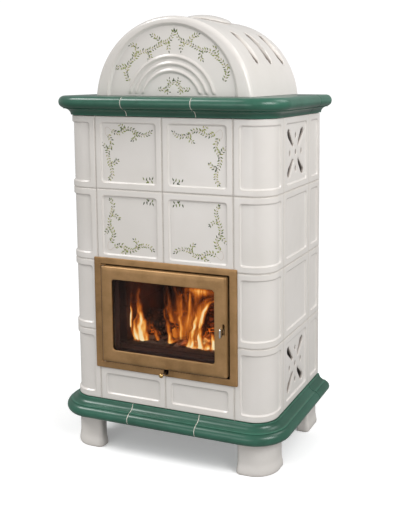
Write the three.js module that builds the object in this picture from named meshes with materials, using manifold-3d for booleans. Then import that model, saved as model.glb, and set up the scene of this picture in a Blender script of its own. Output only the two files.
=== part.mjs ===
// A tiled stove: white glazed tiles between a green plinth and a green cornice,
// under an arched crown, round a steel firebox with a bronze door.
// Millimetres, +Z up, front towards -Y, origin on the floor under the middle.
import * as THREE from 'three';
import { mergeVertices } from 'three/addons/utils/BufferGeometryUtils.js';
import Module from 'manifold-3d';

const wasm = await Module();
wasm.setup();

// ---------------------------------------------------------------- driving sizes
// While it is built, Y = 0 is the front tile face and Z = 0 the top of the plinth.
const tile = {
  pitch: 226,        // a flat tile and its joint, along the wall
  row: 220,          // one row of tiles and its joint
  rows: 4,
  joint: 2,
  border: 17.5,      // flat border round the recessed field
  slope: 4,          // width of the slope down to the field
  recess: 4.5,       // depth of the field
  fieldRadius: 9,
  plate: 13,         // thickness of the tile's face
  rim: 45,           // depth of the rim behind it
  rimWall: 10,
  easing: 1.2,       // rounding of the tile's outer edge
};
const body = {
  leg: 111.5,        // a corner tile's face, on each side of its corner
  radius: 68.5,      // round corner of the stove
  rearTile: 109,     // width of the half tile at the rear of each side
};
const halfWidth = tile.pitch + body.leg;
const depth = body.leg + tile.pitch + body.rearTile;
const wallTop = tile.row * tile.rows;

const moulding = { height: 57.5, toe: 4, cove: 27, nose: 40, shelf: 12, wall: 14 };
const moundGap = 0.5;            // bed joint between moulding and tiles
const shelfDepth = 112;          // reach of the mouldings' flat shelf into the stove
const corniceTop = wallTop + moundGap + moulding.height;
const plinthBottom = -moundGap - moulding.height;
const frontSeam = tile.pitch / 2;

const foot = { height: 103, leg: 107, wall: 33, flare: 4, rearEnd: 430, rearRadius: 14 };
const floorZ = plinthBottom - moundGap - foot.height;

const crown = {
  front: 57, radius: 261, centreZ: 912, rounding: 16, wall: 12,
  fieldRadius: 217, fieldZ: 936, fieldDepth: 7,
  beads: [143, 122, 101], beadRadius: 5.5,
  slotFrom: 28, slotTo: 57, slotWidth: 22, slotRows: [176, 284, 392],
};
const cap = { y: 295, radius: 85, seatZ: 1178, topZ: 1190, hole: 62, spigot: 56, easing: 4 };

const frame = { halfWidth: 238, low: 104, high: 450.5, sheet: 4, proud: 4.3, back: 17 };
const frameHole = { halfWidth: 213, low: 125.5, high: 430, wall: 3 };
const door = { halfWidth: 209, low: 128, high: 427, front: -16, back: 12, sheet: 4, easing: 7 };
const pane = { halfWidth: 171, low: 167.5, high: 388, radius: 9, glass: 4, lap: 10 };
const hinge = { x: -202, y: -9, rod: 3.5, play: 0.3, lug: 2 };
const latch = {
  x: 200, thick: 5, slotLow: 258, slotHigh: 290, pivotY: 4, pivotZ: 268, hub: 7, pin: 3,
  cheek: 9, play: 0.4, reach: 43,
};
const airRod = { x: 5.5, z: 117.5, radius: 3, ball: 7, ballY: -34, notch: 6.5 };

const firebox = {
  halfWidth: 205, front: 18.8, back: 385, low: 124, high: 830, steel: 4,
  throat: 56, throatZ: 436, flangeLow: 108, flangeHigh: 438, flangeHalf: 222,
  mouthHalf: 168, mouthLow: 158, mouthHigh: 396,
};
const flue = { z: 745, radius: 75, wall: 2.5, reach: 491 };
const brick = { thick: 30, low: 172, high: 500, front: 66 };
const grate = { low: 158, thick: 13, slots: 9, slotWidth: 12, slotPitch: 26, slotLength: 150 };
const sill = { thick: 8, lipFrom: 44, lipTo: 52, lipHigh: 172, lipHalf: 160 };
const rearSheet = 1.5;

// ------------------------------------------------------------------- materials
function finish(color, roughness, metalness = 0) {
  return new THREE.MeshStandardMaterial({ color, roughness, metalness });
}
const whiteGlaze = finish('#dedad4', 0.18);
const greenGlaze = finish('#2c594a', 0.15);
const bronze = finish('#94734d', 0.45, 0.7);
const brass = finish('#b08d4e', 0.25, 1);
const blackSteel = finish('#26262a', 0.6, 0.6);
const castIron = finish('#2f2d2d', 0.8, 0.5);
const polishedSteel = finish('#c3c6c6', 0.2, 1);
const firebrickClay = finish('#b9a58a', 0.9);
const ceramicGlass = finish('#241c1c', 0.05);
const sealRope = finish('#55524e', 0.95);
const galvanised = finish('#8f9396', 0.45, 0.8);

// ------------------------------------------------------- closed forms and cuts
function toSolid(geometry) {
  const bare = geometry.index ? geometry.toNonIndexed() : geometry.clone();
  for (const name of Object.keys(bare.attributes)) {
    if (name !== 'position') bare.deleteAttribute(name);
  }
  const merged = mergeVertices(bare, 1e-3);
  return new wasm.Manifold(new wasm.Mesh({
    numProp: 3,
    vertProperties: Float32Array.from(merged.attributes.position.array),
    triVerts: Uint32Array.from(merged.index.array),
  }));
}

function toGeometry(solid) {
  const mesh = solid.getMesh();
  const geometry = new THREE.BufferGeometry();
  const corners = [];
  for (let i = 0; i < mesh.vertProperties.length; i += mesh.numProp) {
    corners.push(...mesh.vertProperties.slice(i, i + 3));
  }
  geometry.setAttribute('position', new THREE.Float32BufferAttribute(corners, 3));
  geometry.setIndex(Array.from(mesh.triVerts));
  return geometry;
}

function join(first, ...others) {
  return toGeometry(others.reduce((sum, g) => sum.add(toSolid(g)), toSolid(first)));
}

function cut(first, ...tools) {
  return toGeometry(tools.reduce((rest, g) => rest.subtract(toSolid(g)), toSolid(first)));
}

function keep(first, other) {
  return toGeometry(toSolid(first).intersect(toSolid(other)));
}

function box(x0, x1, y0, y1, z0, z1) {
  const geometry = new THREE.BoxGeometry(x1 - x0, y1 - y0, z1 - z0);
  return geometry.translate((x0 + x1) / 2, (y0 + y1) / 2, (z0 + z1) / 2);
}

// Triangles over one loop, turned the way the loop runs.
function capTriangles(loop) {
  const normal = new THREE.Vector3();
  loop.forEach((p, i) => {
    const q = loop[(i + 1) % loop.length];
    normal.x += (p.y - q.y) * (p.z + q.z);
    normal.y += (p.z - q.z) * (p.x + q.x);
    normal.z += (p.x - q.x) * (p.y + q.y);
  });
  const size = [Math.abs(normal.x), Math.abs(normal.y), Math.abs(normal.z)];
  const axis = size.indexOf(Math.max(...size));
  const flat = loop.map((p) => {
    if (axis === 0) return new THREE.Vector2(p.y, p.z);
    if (axis === 1) return new THREE.Vector2(p.z, p.x);
    return new THREE.Vector2(p.x, p.y);
  });
  const turn = Math.sign(THREE.ShapeUtils.area(flat));
  return THREE.ShapeUtils.triangulateShape(flat, []).map(([a, b, c]) => {
    const way = THREE.ShapeUtils.area([flat[a], flat[b], flat[c]]);
    return Math.sign(way) === turn ? [a, b, c] : [a, c, b];
  });
}

// A closed skin through loops of equally many points, with a cap on each end.
function skin(loops) {
  const count = loops[0].length;
  const triangles = [];
  for (let k = 0; k + 1 < loops.length; k += 1) {
    for (let i = 0; i < count; i += 1) {
      const j = (i + 1) % count;
      triangles.push([loops[k][i], loops[k][j], loops[k + 1][j]]);
      triangles.push([loops[k][i], loops[k + 1][j], loops[k + 1][i]]);
    }
  }
  const last = loops[loops.length - 1];
  capTriangles(loops[0]).forEach(([a, b, c]) => {
    triangles.push([loops[0][a], loops[0][c], loops[0][b]]);
  });
  capTriangles(last).forEach(([a, b, c]) => triangles.push([last[a], last[b], last[c]]));
  const cross = new THREE.Vector3();
  const volume = triangles.reduce((sum, [a, b, c]) => sum + a.dot(cross.crossVectors(b, c)), 0);
  const corners = [];
  triangles.forEach(([a, b, c]) => {
    const order = volume > 0 ? [a, b, c] : [a, c, b];
    order.forEach((p) => corners.push(p.x, p.y, p.z));
  });
  const geometry = new THREE.BufferGeometry();
  geometry.setAttribute('position', new THREE.Float32BufferAttribute(corners, 3));
  return mergeVertices(geometry, 1e-3);
}

// A shape drawn in X and Z, as thick as y1 - y0.
function uprightPlate(shape, y0, y1, curveSegments = 4) {
  const geometry = new THREE.ExtrudeGeometry(shape, {
    depth: y1 - y0, bevelEnabled: false, curveSegments,
  });
  return geometry.rotateX(Math.PI / 2).translate(0, y1, 0);
}

function rectangle(x0, x1, z0, z1, radius = 0) {
  const shape = new THREE.Shape();
  if (radius === 0) {
    shape.moveTo(x0, z0).lineTo(x1, z0).lineTo(x1, z1).lineTo(x0, z1);
    return shape;
  }
  shape.absarc(x1 - radius, z0 + radius, radius, -Math.PI / 2, 0);
  shape.absarc(x1 - radius, z1 - radius, radius, 0, Math.PI / 2);
  shape.absarc(x0 + radius, z1 - radius, radius, Math.PI / 2, Math.PI);
  shape.absarc(x0 + radius, z0 + radius, radius, Math.PI, Math.PI * 1.5);
  return shape;
}

function ring(outer, inner) {
  outer.holes.push(inner);
  return outer;
}

// ------------------------------------------------------------------ flat tiles
// One loop of a tile: a rectangle with round corners, at a depth behind the face.
function tileLoop(halfX, halfZ, inset, radius, y, steps = 2) {
  const x = halfX - inset - radius;
  const z = halfZ - inset - radius;
  const centres = [[x, z], [-x, z], [-x, -z], [x, -z]];
  const loop = [];
  centres.forEach(([cx, cz], quarter) => {
    for (let i = 0; i <= steps; i += 1) {
      const angle = (quarter + i / steps) * Math.PI / 2;
      loop.push(new THREE.Vector3(
        cx + radius * Math.cos(angle), y, cz + radius * Math.sin(angle),
      ));
    }
  });
  return loop;
}

// A glazed tile: hollow behind, with a rim, and a recessed field in front.
function flatTile(width, height) {
  const x = width / 2;
  const z = height / 2;
  const field = tile.border + tile.slope;
  return skin([
    tileLoop(x, z, tile.rimWall, 3, tile.plate),
    tileLoop(x, z, tile.rimWall, 3, tile.rim),
    tileLoop(x, z, 0, 1, tile.rim),
    tileLoop(x, z, 0, 1, tile.easing),
    tileLoop(x, z, tile.easing, 1, 0),
    tileLoop(x, z, tile.border, tile.fieldRadius, 0),
    tileLoop(x, z, field, tile.fieldRadius - tile.slope, tile.recess),
  ]);
}

// The pierced tile's pattern: four petals on the diagonals, and five ovals.
const petal = { inner: 33, innerRadius: 5, outer: 86, outerRadius: 11 };
const oval = { halfWidth: 6, halfHeight: 9, from: 50 };

function petalShape() {
  const lean = Math.asin((petal.outerRadius - petal.innerRadius) / (petal.outer - petal.inner));
  const side = Math.PI / 2 + lean;
  const shape = new THREE.Shape();
  shape.absarc(petal.outer, 0, petal.outerRadius, -side, side);
  shape.absarc(petal.inner, 0, petal.innerRadius, side, Math.PI * 2 - side);
  return shape;
}

function ventTile(width, height) {
  const through = [-tile.plate, tile.plate * 2];
  const tools = [45, 135, 225, 315].map((degrees) => (
    uprightPlate(petalShape(), ...through, 5).rotateY(-THREE.MathUtils.degToRad(degrees))
  ));
  [[0, 0], [1, 0], [-1, 0], [0, 1], [0, -1]].forEach(([i, j]) => {
    const shape = new THREE.Shape();
    shape.absellipse(i * oval.from, j * oval.from, oval.halfWidth, oval.halfHeight, 0, Math.PI * 2);
    tools.push(uprightPlate(shape, ...through, 4));
  });
  return cut(flatTile(width, height), ...tools);
}

// Half tiles stand one on another at the rear, edge to edge.
function tileColumn(width) {
  const tiles = [];
  for (let row = 0; row < tile.rows; row += 1) {
    tiles.push(flatTile(width, tile.row).translate(0, 0, tile.row * (row + 0.5)));
  }
  return join(...tiles);
}

// ---------------------------------------------------------------- round corner
// The outer face in plan, from the front leg round the corner to the side leg.
// along runs from 0 at the front leg's end, inward is the depth behind the face.
function cornerPoint(along, inward, side, legFront, legSide) {
  const straight = legFront - body.radius;
  const arc = body.radius * Math.PI / 2;
  const centre = { x: halfWidth - body.radius, y: body.radius };
  let x = halfWidth - inward;
  let y = legSide - (straight + arc + (legSide - body.radius) - along);
  if (along <= straight) {
    x = halfWidth - legFront + along;
    y = inward;
  } else if (along <= straight + arc) {
    const turn = (along - straight) / body.radius;
    x = centre.x + (body.radius - inward) * Math.sin(turn);
    y = centre.y - (body.radius - inward) * Math.cos(turn);
  }
  return new THREE.Vector3(x * side, y, 0);
}

function arcStations(legFront, steps) {
  const from = legFront - body.radius;
  const stations = [];
  for (let i = 0; i <= steps; i += 1) {
    stations.push(from + body.radius * (Math.PI / 2) * (i / steps));
  }
  return stations;
}

function atHeight(points, z) {
  return points.map((p) => new THREE.Vector3(p.x, p.y, z));
}

// A tile bent round the corner, with its field recessed between the borders.
function cornerTile(side, height) {
  const leg = body.leg - tile.joint / 2;
  const length = 2 * (leg - body.radius) + body.radius * Math.PI / 2;
  const field = tile.border + tile.slope;
  const round = arcStations(leg, 6);
  const place = (along, inward) => cornerPoint(along, inward, side, leg, leg);
  const outer = (recess) => [
    place(0, 0), place(tile.border, 0), place(field, recess),
    ...round.map((along) => place(along, recess)),
    place(length - field, recess), place(length - tile.border, 0), place(length, 0),
  ];
  const bends = [round[6], round[3], round[0]];
  const inner = [
    place(length, tile.rim), place(length - tile.rimWall, tile.rim),
    place(length - tile.rimWall, tile.plate),
    ...bends.map((along) => place(along, tile.plate)),
    place(tile.rimWall, tile.plate), place(tile.rimWall, tile.rim), place(0, tile.rim),
  ];
  const level = (z, recess) => atHeight([...outer(recess), ...inner], z);
  return skin([
    level(0, 0), level(tile.border, 0), level(field, tile.recess),
    level(height - field, tile.recess), level(height - tile.border, 0), level(height, 0),
  ]);
}

// ------------------------------------------------------------ green mouldings
// The moulding's section: out from the tile face, and up from its lower edge.
function mouldingSection(inward) {
  const { height, toe, cove, nose, shelf, wall } = moulding;
  const noseRadius = 18;
  const noseCentre = { out: nose - noseRadius, up: 39 };
  const points = [];
  for (let i = 0; i <= 3; i += 1) {
    const angle = (i / 3) * Math.PI / 2;
    points.push([toe + (cove - toe) * (1 - Math.cos(angle)), 19.5 * Math.sin(angle)]);
  }
  for (let i = 0; i <= 6; i += 1) {
    const angle = THREE.MathUtils.degToRad(-80 + i * 28);
    points.push([
      noseCentre.out + noseRadius * Math.cos(angle),
      Math.min(noseCentre.up + noseRadius * Math.sin(angle), height),
    ]);
  }
  points.push([14, height], [-inward, height], [-inward, height - shelf]);
  points.push([-wall, height - shelf], [-wall, 0]);
  return points;
}

function sweep(section, places, flip) {
  return skin(places.map((place) => section.map(([out, up]) => {
    const point = place(-out);
    point.z = flip ? -up : up;
    return point;
  })));
}

function mouldingFront(flip) {
  const half = frontSeam - tile.joint / 2;
  const places = [-half, half].map((x) => (inward) => new THREE.Vector3(x, inward, 0));
  return sweep(mouldingSection(shelfDepth), places, flip);
}

function mouldingRear(side, flip) {
  const from = body.leg + tile.pitch + tile.joint / 2;
  const places = [from, depth].map((y) => (
    (inward) => new THREE.Vector3(side * (halfWidth - inward), y, 0)
  ));
  return sweep(mouldingSection(shelfDepth), places, flip);
}

function mouldingCorner(side, flip) {
  const legFront = halfWidth - frontSeam - tile.joint / 2;
  const legSide = body.leg + tile.pitch - tile.joint / 2;
  const end = legFront + legSide - body.radius * (2 - Math.PI / 2);
  const stations = [0, ...arcStations(legFront, 6), end];
  const places = stations.map((along) => (
    (inward) => cornerPoint(along, inward, side, legFront, legSide)
  ));
  const swept = sweep(mouldingSection(body.radius - 18), places, flip);
  const reach = halfWidth - body.radius + 20;
  const shelf = new THREE.Shape();
  shelf.moveTo(side * (frontSeam + tile.joint / 2), 40);
  shelf.lineTo(side * reach, 40);
  shelf.lineTo(side * reach, legSide);
  shelf.lineTo(side * (halfWidth - shelfDepth), legSide);
  shelf.lineTo(side * (halfWidth - shelfDepth), shelfDepth);
  shelf.lineTo(side * (frontSeam + tile.joint / 2), shelfDepth);
  const plate = new THREE.ExtrudeGeometry(shelf, { depth: moulding.shelf, bevelEnabled: false });
  const low = flip ? -moulding.height : moulding.height - moulding.shelf;
  return join(swept, plate.translate(0, 0, low));
}

// ------------------------------------------------------------------------ feet
const footLevels = [
  [0, 0], [0.76, 0], [0.88, foot.flare * 0.6], [0.96, foot.flare], [1, foot.flare * 0.4],
];

function footSkin(outline) {
  return skin(footLevels.map(([down, out]) => atHeight(outline(out), -down * foot.height)));
}

function frontFoot(side) {
  const length = 2 * (foot.leg - body.radius) + body.radius * Math.PI / 2;
  const place = (along, inward) => cornerPoint(along, inward, side, foot.leg, foot.leg);
  const turn = arcStations(foot.leg, 6);
  const innerCorner = new THREE.Vector3(
    side * (halfWidth - foot.wall), foot.wall, 0,
  );
  return footSkin((out) => [
    place(0, -out), ...turn.map((along) => place(along, -out)), place(length, -out),
    place(length, foot.wall), innerCorner, place(0, foot.wall),
  ]);
}

function rearFoot(side) {
  const { rearEnd, rearRadius, wall } = foot;
  const front = rearEnd - foot.leg + 12;
  const inside = halfWidth - foot.leg;
  return footSkin((out) => {
    const outline = [[halfWidth + out, front - out * 0.5]];
    for (let i = 0; i <= 3; i += 1) {
      const angle = (i / 3) * Math.PI / 2;
      outline.push([
        halfWidth - rearRadius + (rearRadius + out) * Math.cos(angle),
        rearEnd - rearRadius + (rearRadius + out) * Math.sin(angle),
      ]);
    }
    outline.push([inside - out * 0.5, rearEnd + out], [inside, rearEnd - wall]);
    outline.push([halfWidth - wall, rearEnd - wall], [halfWidth - wall, front]);
    return outline.map(([x, y]) => new THREE.Vector3(side * x, y, 0));
  });
}

// ----------------------------------------------------------------------- crown
const crownBase = corniceTop + moundGap;

// A half disc over the crown's base line, as a loop at one depth.
function archLoop(radius, centreZ, baseZ, y, steps = 24) {
  const low = Math.asin((baseZ - centreZ) / radius);
  const loop = [];
  for (let i = 0; i <= steps; i += 1) {
    const angle = low + (Math.PI - 2 * low) * (i / steps);
    loop.push(new THREE.Vector3(
      radius * Math.cos(angle), y, centreZ + radius * Math.sin(angle),
    ));
  }
  return loop;
}

function slotTool(y, side) {
  const middle = (crown.slotFrom + crown.slotTo) / 2;
  const half = THREE.MathUtils.degToRad(crown.slotTo - crown.slotFrom) / 2;
  const end = crown.slotWidth / 2;
  const straight = half * crown.radius - end;
  const outline = [];
  [0, 1].forEach((way) => {
    for (let i = 0; i <= 3; i += 1) {
      const angle = (way + i / 3) * Math.PI - Math.PI / 2;
      const shift = way === 0 ? straight : -straight;
      outline.push([shift + end * Math.cos(angle), end * Math.sin(angle)]);
    }
    const sign = way === 0 ? 1 : -1;
    [0.5, -0.5].forEach((part) => outline.push([sign * part * straight, sign * end]));
  });
  return skin([crown.radius - 30, crown.radius + 30].map((radius) => (
    outline.map(([along, across]) => {
      const angle = THREE.MathUtils.degToRad(middle) + along / crown.radius;
      return new THREE.Vector3(
        side * radius * Math.cos(angle), y + across, crown.centreZ + radius * Math.sin(angle),
      );
    })
  )));
}

function bead(radius) {
  const profile = [];
  for (let i = 0; i <= 4; i += 1) {
    const angle = (i / 4) * Math.PI;
    profile.push(new THREE.Vector2(
      radius + crown.beadRadius * Math.cos(angle), crown.beadRadius * Math.sin(angle),
    ));
  }
  profile.push(new THREE.Vector2(radius - crown.beadRadius, -3));
  profile.push(new THREE.Vector2(radius + crown.beadRadius, -3), profile[0].clone());
  const field = crown.front + crown.fieldDepth;
  const whole = new THREE.LatheGeometry(profile, 32).rotateX(Math.PI);
  return whole.translate(0, field, crown.centreZ);
}

function crownVault() {
  const loops = [0, 30, 60, 90].map((degrees) => {
    const angle = THREE.MathUtils.degToRad(degrees);
    return archLoop(
      crown.radius - crown.rounding * (1 - Math.sin(angle)), crown.centreZ, crownBase,
      crown.front + crown.rounding * (1 - Math.cos(angle)),
    );
  });
  loops.push(archLoop(crown.radius, crown.centreZ, crownBase, depth));
  const seat = new THREE.CylinderGeometry(cap.radius - 1, cap.radius - 1, 60, 24);
  seat.rotateX(Math.PI / 2).translate(0, cap.y, cap.seatZ - 30);
  const hole = new THREE.CylinderGeometry(cap.hole, cap.hole, 120, 24);
  hole.rotateX(Math.PI / 2).translate(0, cap.y, cap.seatZ);
  const fieldBase = crownBase - 10;
  const field = skin([crown.front - 10, crown.front + crown.fieldDepth].map((y) => (
    archLoop(crown.fieldRadius, crown.fieldZ, fieldBase, y)
  )));
  const inside = skin([crown.front + crown.fieldDepth + crown.wall, depth + 10].map((y) => (
    archLoop(crown.radius - crown.wall, crown.centreZ, crownBase - 10, y)
  )));
  const beads = crown.beads.map((radius) => {
    const above = box(-300, 300, 0, 200, crownBase, crownBase + 300);
    return keep(bead(radius), above);
  });
  const slots = crown.slotRows.flatMap((y) => [slotTool(y, 1), slotTool(y, -1)]);
  const faced = cut(join(skin(loops), seat), field);
  return cut(join(faced, ...beads), inside, hole, ...slots);
}

function lathe(points, segments = 24) {
  const profile = points.map(([r, z]) => new THREE.Vector2(r, z));
  return new THREE.LatheGeometry(profile, segments).rotateX(Math.PI / 2);
}

function flueCap() {
  const { radius, seatZ, topZ, spigot, easing } = cap;
  const low = seatZ + 0.4;
  return lathe([
    [0, low], [spigot - 4, low], [spigot - 4, low - 12], [spigot, low - 12], [spigot, low],
    [radius, low], [radius, topZ - easing], [radius - easing * 0.3, topZ - easing * 0.3],
    [radius - easing, topZ], [0, topZ],
  ]).translate(0, cap.y, 0);
}

// ------------------------------------------------------------------------ door
function doorFrame() {
  const { halfWidth: outerHalf, low, high, sheet, proud, back } = frame;
  const hole = frameHole;
  const border = uprightPlate(ring(
    rectangle(-outerHalf, outerHalf, low, high, 4),
    rectangle(-hole.halfWidth, hole.halfWidth, hole.low, hole.high, 2),
  ), -proud, sheet - proud, 2);
  const wall = hole.wall;
  const sleeve = uprightPlate(ring(
    rectangle(-hole.halfWidth - wall, hole.halfWidth + wall, hole.low - wall, hole.high + wall),
    rectangle(-hole.halfWidth, hole.halfWidth, hole.low, hole.high, 2),
  ), -proud + 1, back, 2);
  const lugs = [hole.low + 0.1, hole.high - 0.1 - hinge.lug].map((z) => (
    box(-hole.halfWidth - 1, hinge.x + 6, hinge.y - 6, 6, z, z + hinge.lug)
  ));
  const bore = new THREE.CylinderGeometry(hinge.rod + hinge.play, hinge.rod + hinge.play, 400, 12);
  bore.rotateX(Math.PI / 2).translate(hinge.x, hinge.y, (hole.low + hole.high) / 2);
  const notch = uprightPlate(rectangle(
    airRod.x - airRod.notch, airRod.x + airRod.notch,
    airRod.z - airRod.notch, hole.low + 3, 5,
  ), -10, 30, 3);
  return cut(join(border, sleeve, ...lugs), notch, bore);
}

function doorPanel() {
  const { halfWidth: x, low, high, front, back, sheet, easing } = door;
  const middle = (low + high) / 2;
  const tall = (high - low) / 2;
  const loops = [tileLoop(x, tall, 0, 3, back, 3)];
  [0, 30, 60, 90].forEach((degrees) => {
    const angle = THREE.MathUtils.degToRad(degrees);
    const inset = easing * (1 - Math.cos(angle));
    loops.push(tileLoop(x, tall, inset, 3, front + easing * (1 - Math.sin(angle)), 3));
  });
  const block = skin(loops).translate(0, 0, middle);
  const pan = uprightPlate(rectangle(
    hinge.x + 8, x - sheet, low + sheet, high - sheet,
  ), front + sheet, back + 5);
  const { cheek, play } = latch;
  const cheeks = box(
    latch.x - cheek, x - sheet + 1, front + 1, back, latch.slotLow - 8, latch.slotHigh + 8,
  );
  const window = uprightPlate(rectangle(
    -pane.halfWidth, pane.halfWidth, pane.low, pane.high, pane.radius,
  ), front - 5, back + 5, 3);
  const slotHalf = latch.thick / 2 + play;
  const slot = uprightPlate(rectangle(
    latch.x - slotHalf, latch.x + slotHalf, latch.slotLow, latch.slotHigh, 2,
  ), front - 5, back + 5, 2);
  const pinHole = new THREE.CylinderGeometry(latch.pin + play, latch.pin + play, 13, 10);
  pinHole.rotateZ(Math.PI / 2).translate(latch.x - 0.6, latch.pivotY, latch.pivotZ);
  const bore = new THREE.CylinderGeometry(hinge.rod + hinge.play, hinge.rod + hinge.play, 400, 12);
  bore.rotateX(Math.PI / 2).translate(hinge.x, hinge.y, middle);
  return cut(join(cut(block, pan), cheeks), window, slot, pinHole, bore);
}

const glassFront = door.front + door.sheet + 0.3;

function doorGlass() {
  const { halfWidth: x, low, high, lap, glass } = pane;
  const shape = rectangle(-x - lap, x + lap, low - lap, high + lap, 4);
  return uprightPlate(shape, glassFront, glassFront + glass, 1);
}

const glassFrame = { halfWidth: 188, low: 134, high: 421, front: glassFront + pane.glass + 0.3 };

// A pressed frame that holds the glass: its window widens towards the fire.
function glassRetainer() {
  const { halfWidth: x, low, high, front } = glassFrame;
  const back = door.back - 4;
  const plate = uprightPlate(rectangle(-x, x, low, high, 4), front, back, 2);
  const middle = (pane.low + pane.high) / 2;
  const tall = (pane.high - pane.low) / 2;
  const window = skin([[front - 1, 0], [front + 4, 0], [back + 1, -6]].map(([y, inset]) => (
    tileLoop(pane.halfWidth, tall, inset, pane.radius, y)
  ))).translate(0, 0, middle);
  return cut(plate, window);
}

function doorSeal() {
  const from = door.back - 4 + 0.3;
  const to = firebox.front - 0.3;
  return uprightPlate(ring(
    rectangle(-186, 186, 138, 417, 10), rectangle(-178, 178, 146, 409, 6),
  ), from, to, 2);
}

function hingeRod() {
  const length = frameHole.high - frameHole.low - 0.6;
  const rod = new THREE.CylinderGeometry(hinge.rod, hinge.rod, length, 12);
  return rod.rotateX(Math.PI / 2).translate(
    hinge.x, hinge.y, (frameHole.low + frameHole.high) / 2,
  );
}

// The latch turns on its pin: a hub in the door's cheeks and a tab out in front.
function latchLever() {
  const { x, thick, pivotY: y, pivotZ: z, hub, pin, reach } = latch;
  const side = new THREE.Shape();
  side.moveTo(y + 12, z - 5);
  side.lineTo(y + 12, z + 5);
  side.lineTo(y, z + hub);
  side.lineTo(-17, z + 8);
  side.quadraticCurveTo(-28, z + 12, -35, z + 15);
  side.quadraticCurveTo(-reach + 3, z + 15, -reach + 2, z + 10);
  side.lineTo(-reach, z - 6);
  side.quadraticCurveTo(-reach, z - 11, -reach + 5, z - 11);
  side.lineTo(-17, z - 6);
  side.lineTo(y, z - hub);
  const plate = new THREE.ExtrudeGeometry(side, {
    depth: thick, bevelEnabled: false, curveSegments: 3,
  });
  plate.rotateX(Math.PI / 2).rotateZ(Math.PI / 2);
  plate.translate(x - thick / 2, 0, 0);
  const stub = new THREE.CylinderGeometry(pin, pin, 11.6, 10);
  stub.rotateZ(Math.PI / 2).translate(x - 0.6, y, z);
  return join(plate, stub);
}

// ----------------------------------------------------------------- air control
const airPlate = { halfWidth: 34, from: 56, to: 124, low: 117, high: 121.5 };
const airPort = { halfWidth: 26, from: 95, to: 120 };

function airSlide() {
  const length = airPlate.from + 8 - (airRod.ballY + airRod.ball - 1);
  const rod = new THREE.CylinderGeometry(airRod.radius, airRod.radius, length, 10);
  rod.translate(airRod.x, airPlate.from + 8 - length / 2, airRod.z);
  const plate = box(
    airRod.x - airPlate.halfWidth, airRod.x + airPlate.halfWidth,
    airPlate.from, airPlate.to, airPlate.low, airPlate.high,
  );
  return join(rod, plate);
}

function airKnob() {
  const { ball, radius, ballY, x, z } = airRod;
  const points = [[radius + 0.3, ball - 0.6 + 3]];
  points.push([ball * 0.62, ball - 0.6 + 3], [ball * 0.62, ball * 0.72]);
  for (let i = 1; i <= 5; i += 1) {
    const angle = THREE.MathUtils.degToRad(46 + i * 25);
    points.push([ball * Math.sin(angle), ball * Math.cos(angle)]);
  }
  points.push([0, -ball], [0, ball - 3], [radius + 0.3, ball - 3]);
  points.push([radius + 0.3, ball - 0.6 + 3]);
  const profile = points.reverse().map(([r, a]) => new THREE.Vector2(r, a));
  return new THREE.LatheGeometry(profile, 12).translate(x, ballY, z);
}

// --------------------------------------------------------------------- firebox
function fireboxBody() {
  const f = firebox;
  const shell = box(-f.halfWidth, f.halfWidth, f.throat, f.back, f.low, f.high);
  const inside = box(
    -f.halfWidth + f.steel, f.halfWidth - f.steel, f.throat + f.steel, f.back - f.steel,
    f.low + f.steel, f.high - f.steel,
  );
  const neck = box(-f.halfWidth, f.halfWidth, f.front, f.throat + 5, f.low, f.throatZ);
  const neckInside = box(
    -f.halfWidth + f.steel, f.halfWidth - f.steel, f.front + f.steel, f.throat + 10,
    f.low + f.steel, f.throatZ - f.steel,
  );
  const flange = box(
    -f.flangeHalf, f.flangeHalf, f.front, f.front + f.steel, f.flangeLow, f.flangeHigh,
  );
  const mouth = uprightPlate(rectangle(
    -f.mouthHalf, f.mouthHalf, f.mouthLow, f.mouthHigh, 8,
  ), f.front - 5, f.front + 20, 2);
  const rodHole = new THREE.CylinderGeometry(airRod.radius + 1, airRod.radius + 1, 40, 10);
  rodHole.translate(airRod.x, f.front, airRod.z);
  const port = box(
    airRod.x - airPort.halfWidth, airRod.x + airPort.halfWidth,
    airPort.from, airPort.to, f.low - 5, f.low + 10,
  );
  const smoke = new THREE.CylinderGeometry(flue.radius - 6, flue.radius - 6, 40, 24);
  smoke.translate(0, f.back, flue.z);
  const ledges = [-1, 1].map((side) => {
    const x = side * (f.halfWidth - f.steel - 9);
    return box(x - 10, x + 10, f.front + 2, f.back - 40, grate.low - 6.5, grate.low - 0.5);
  });
  const walls = cut(join(shell, neck, flange), inside, neckInside);
  return cut(join(walls, ...ledges), mouth, rodHole, port, smoke);
}

function flueSpigot() {
  const { radius, wall, reach, z } = flue;
  const from = firebox.back + 0.3;
  return lathe([
    [radius - wall, from], [radius + 10, from], [radius + 10, from + 4], [radius, from + 4],
    [radius, reach], [radius - wall, reach], [radius - wall, from],
  ]).rotateX(-Math.PI / 2).translate(0, 0, z);
}

function rearPanel() {
  const from = depth + 0.4;
  const half = halfWidth - 8;
  const shape = new THREE.Shape();
  shape.moveTo(-half, 2).lineTo(half, 2).lineTo(half, corniceTop - 2);
  const arch = crown.radius - 4;
  const low = Math.asin((corniceTop - 2 - crown.centreZ) / arch);
  shape.absarc(0, crown.centreZ, arch, low, Math.PI - low);
  shape.lineTo(-half, corniceTop - 2);
  const hole = new THREE.Path();
  hole.absarc(0, flue.z, flue.radius + 3, 0, Math.PI * 2);
  shape.holes.push(hole);
  return uprightPlate(shape, from, from + rearSheet, 10);
}

// The firebox stands on a folded frame that lies on the plinth's shelf.
function baseFrame() {
  const floor = box(-285, 285, 52, depth - 12, 0.5, 3.5);
  const webs = [-150, 150].map((x) => box(x - 2, x + 2, 80, 370, 3, firebox.low - 0.4));
  const caps = [-150, 150].map((x) => (
    box(x - 18, x + 18, 80, 370, firebox.low - 3.4, firebox.low - 0.4)
  ));
  const well = box(-110, 110, 110, 340, -5, 10);
  return join(cut(floor, well), ...webs, ...caps);
}

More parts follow.
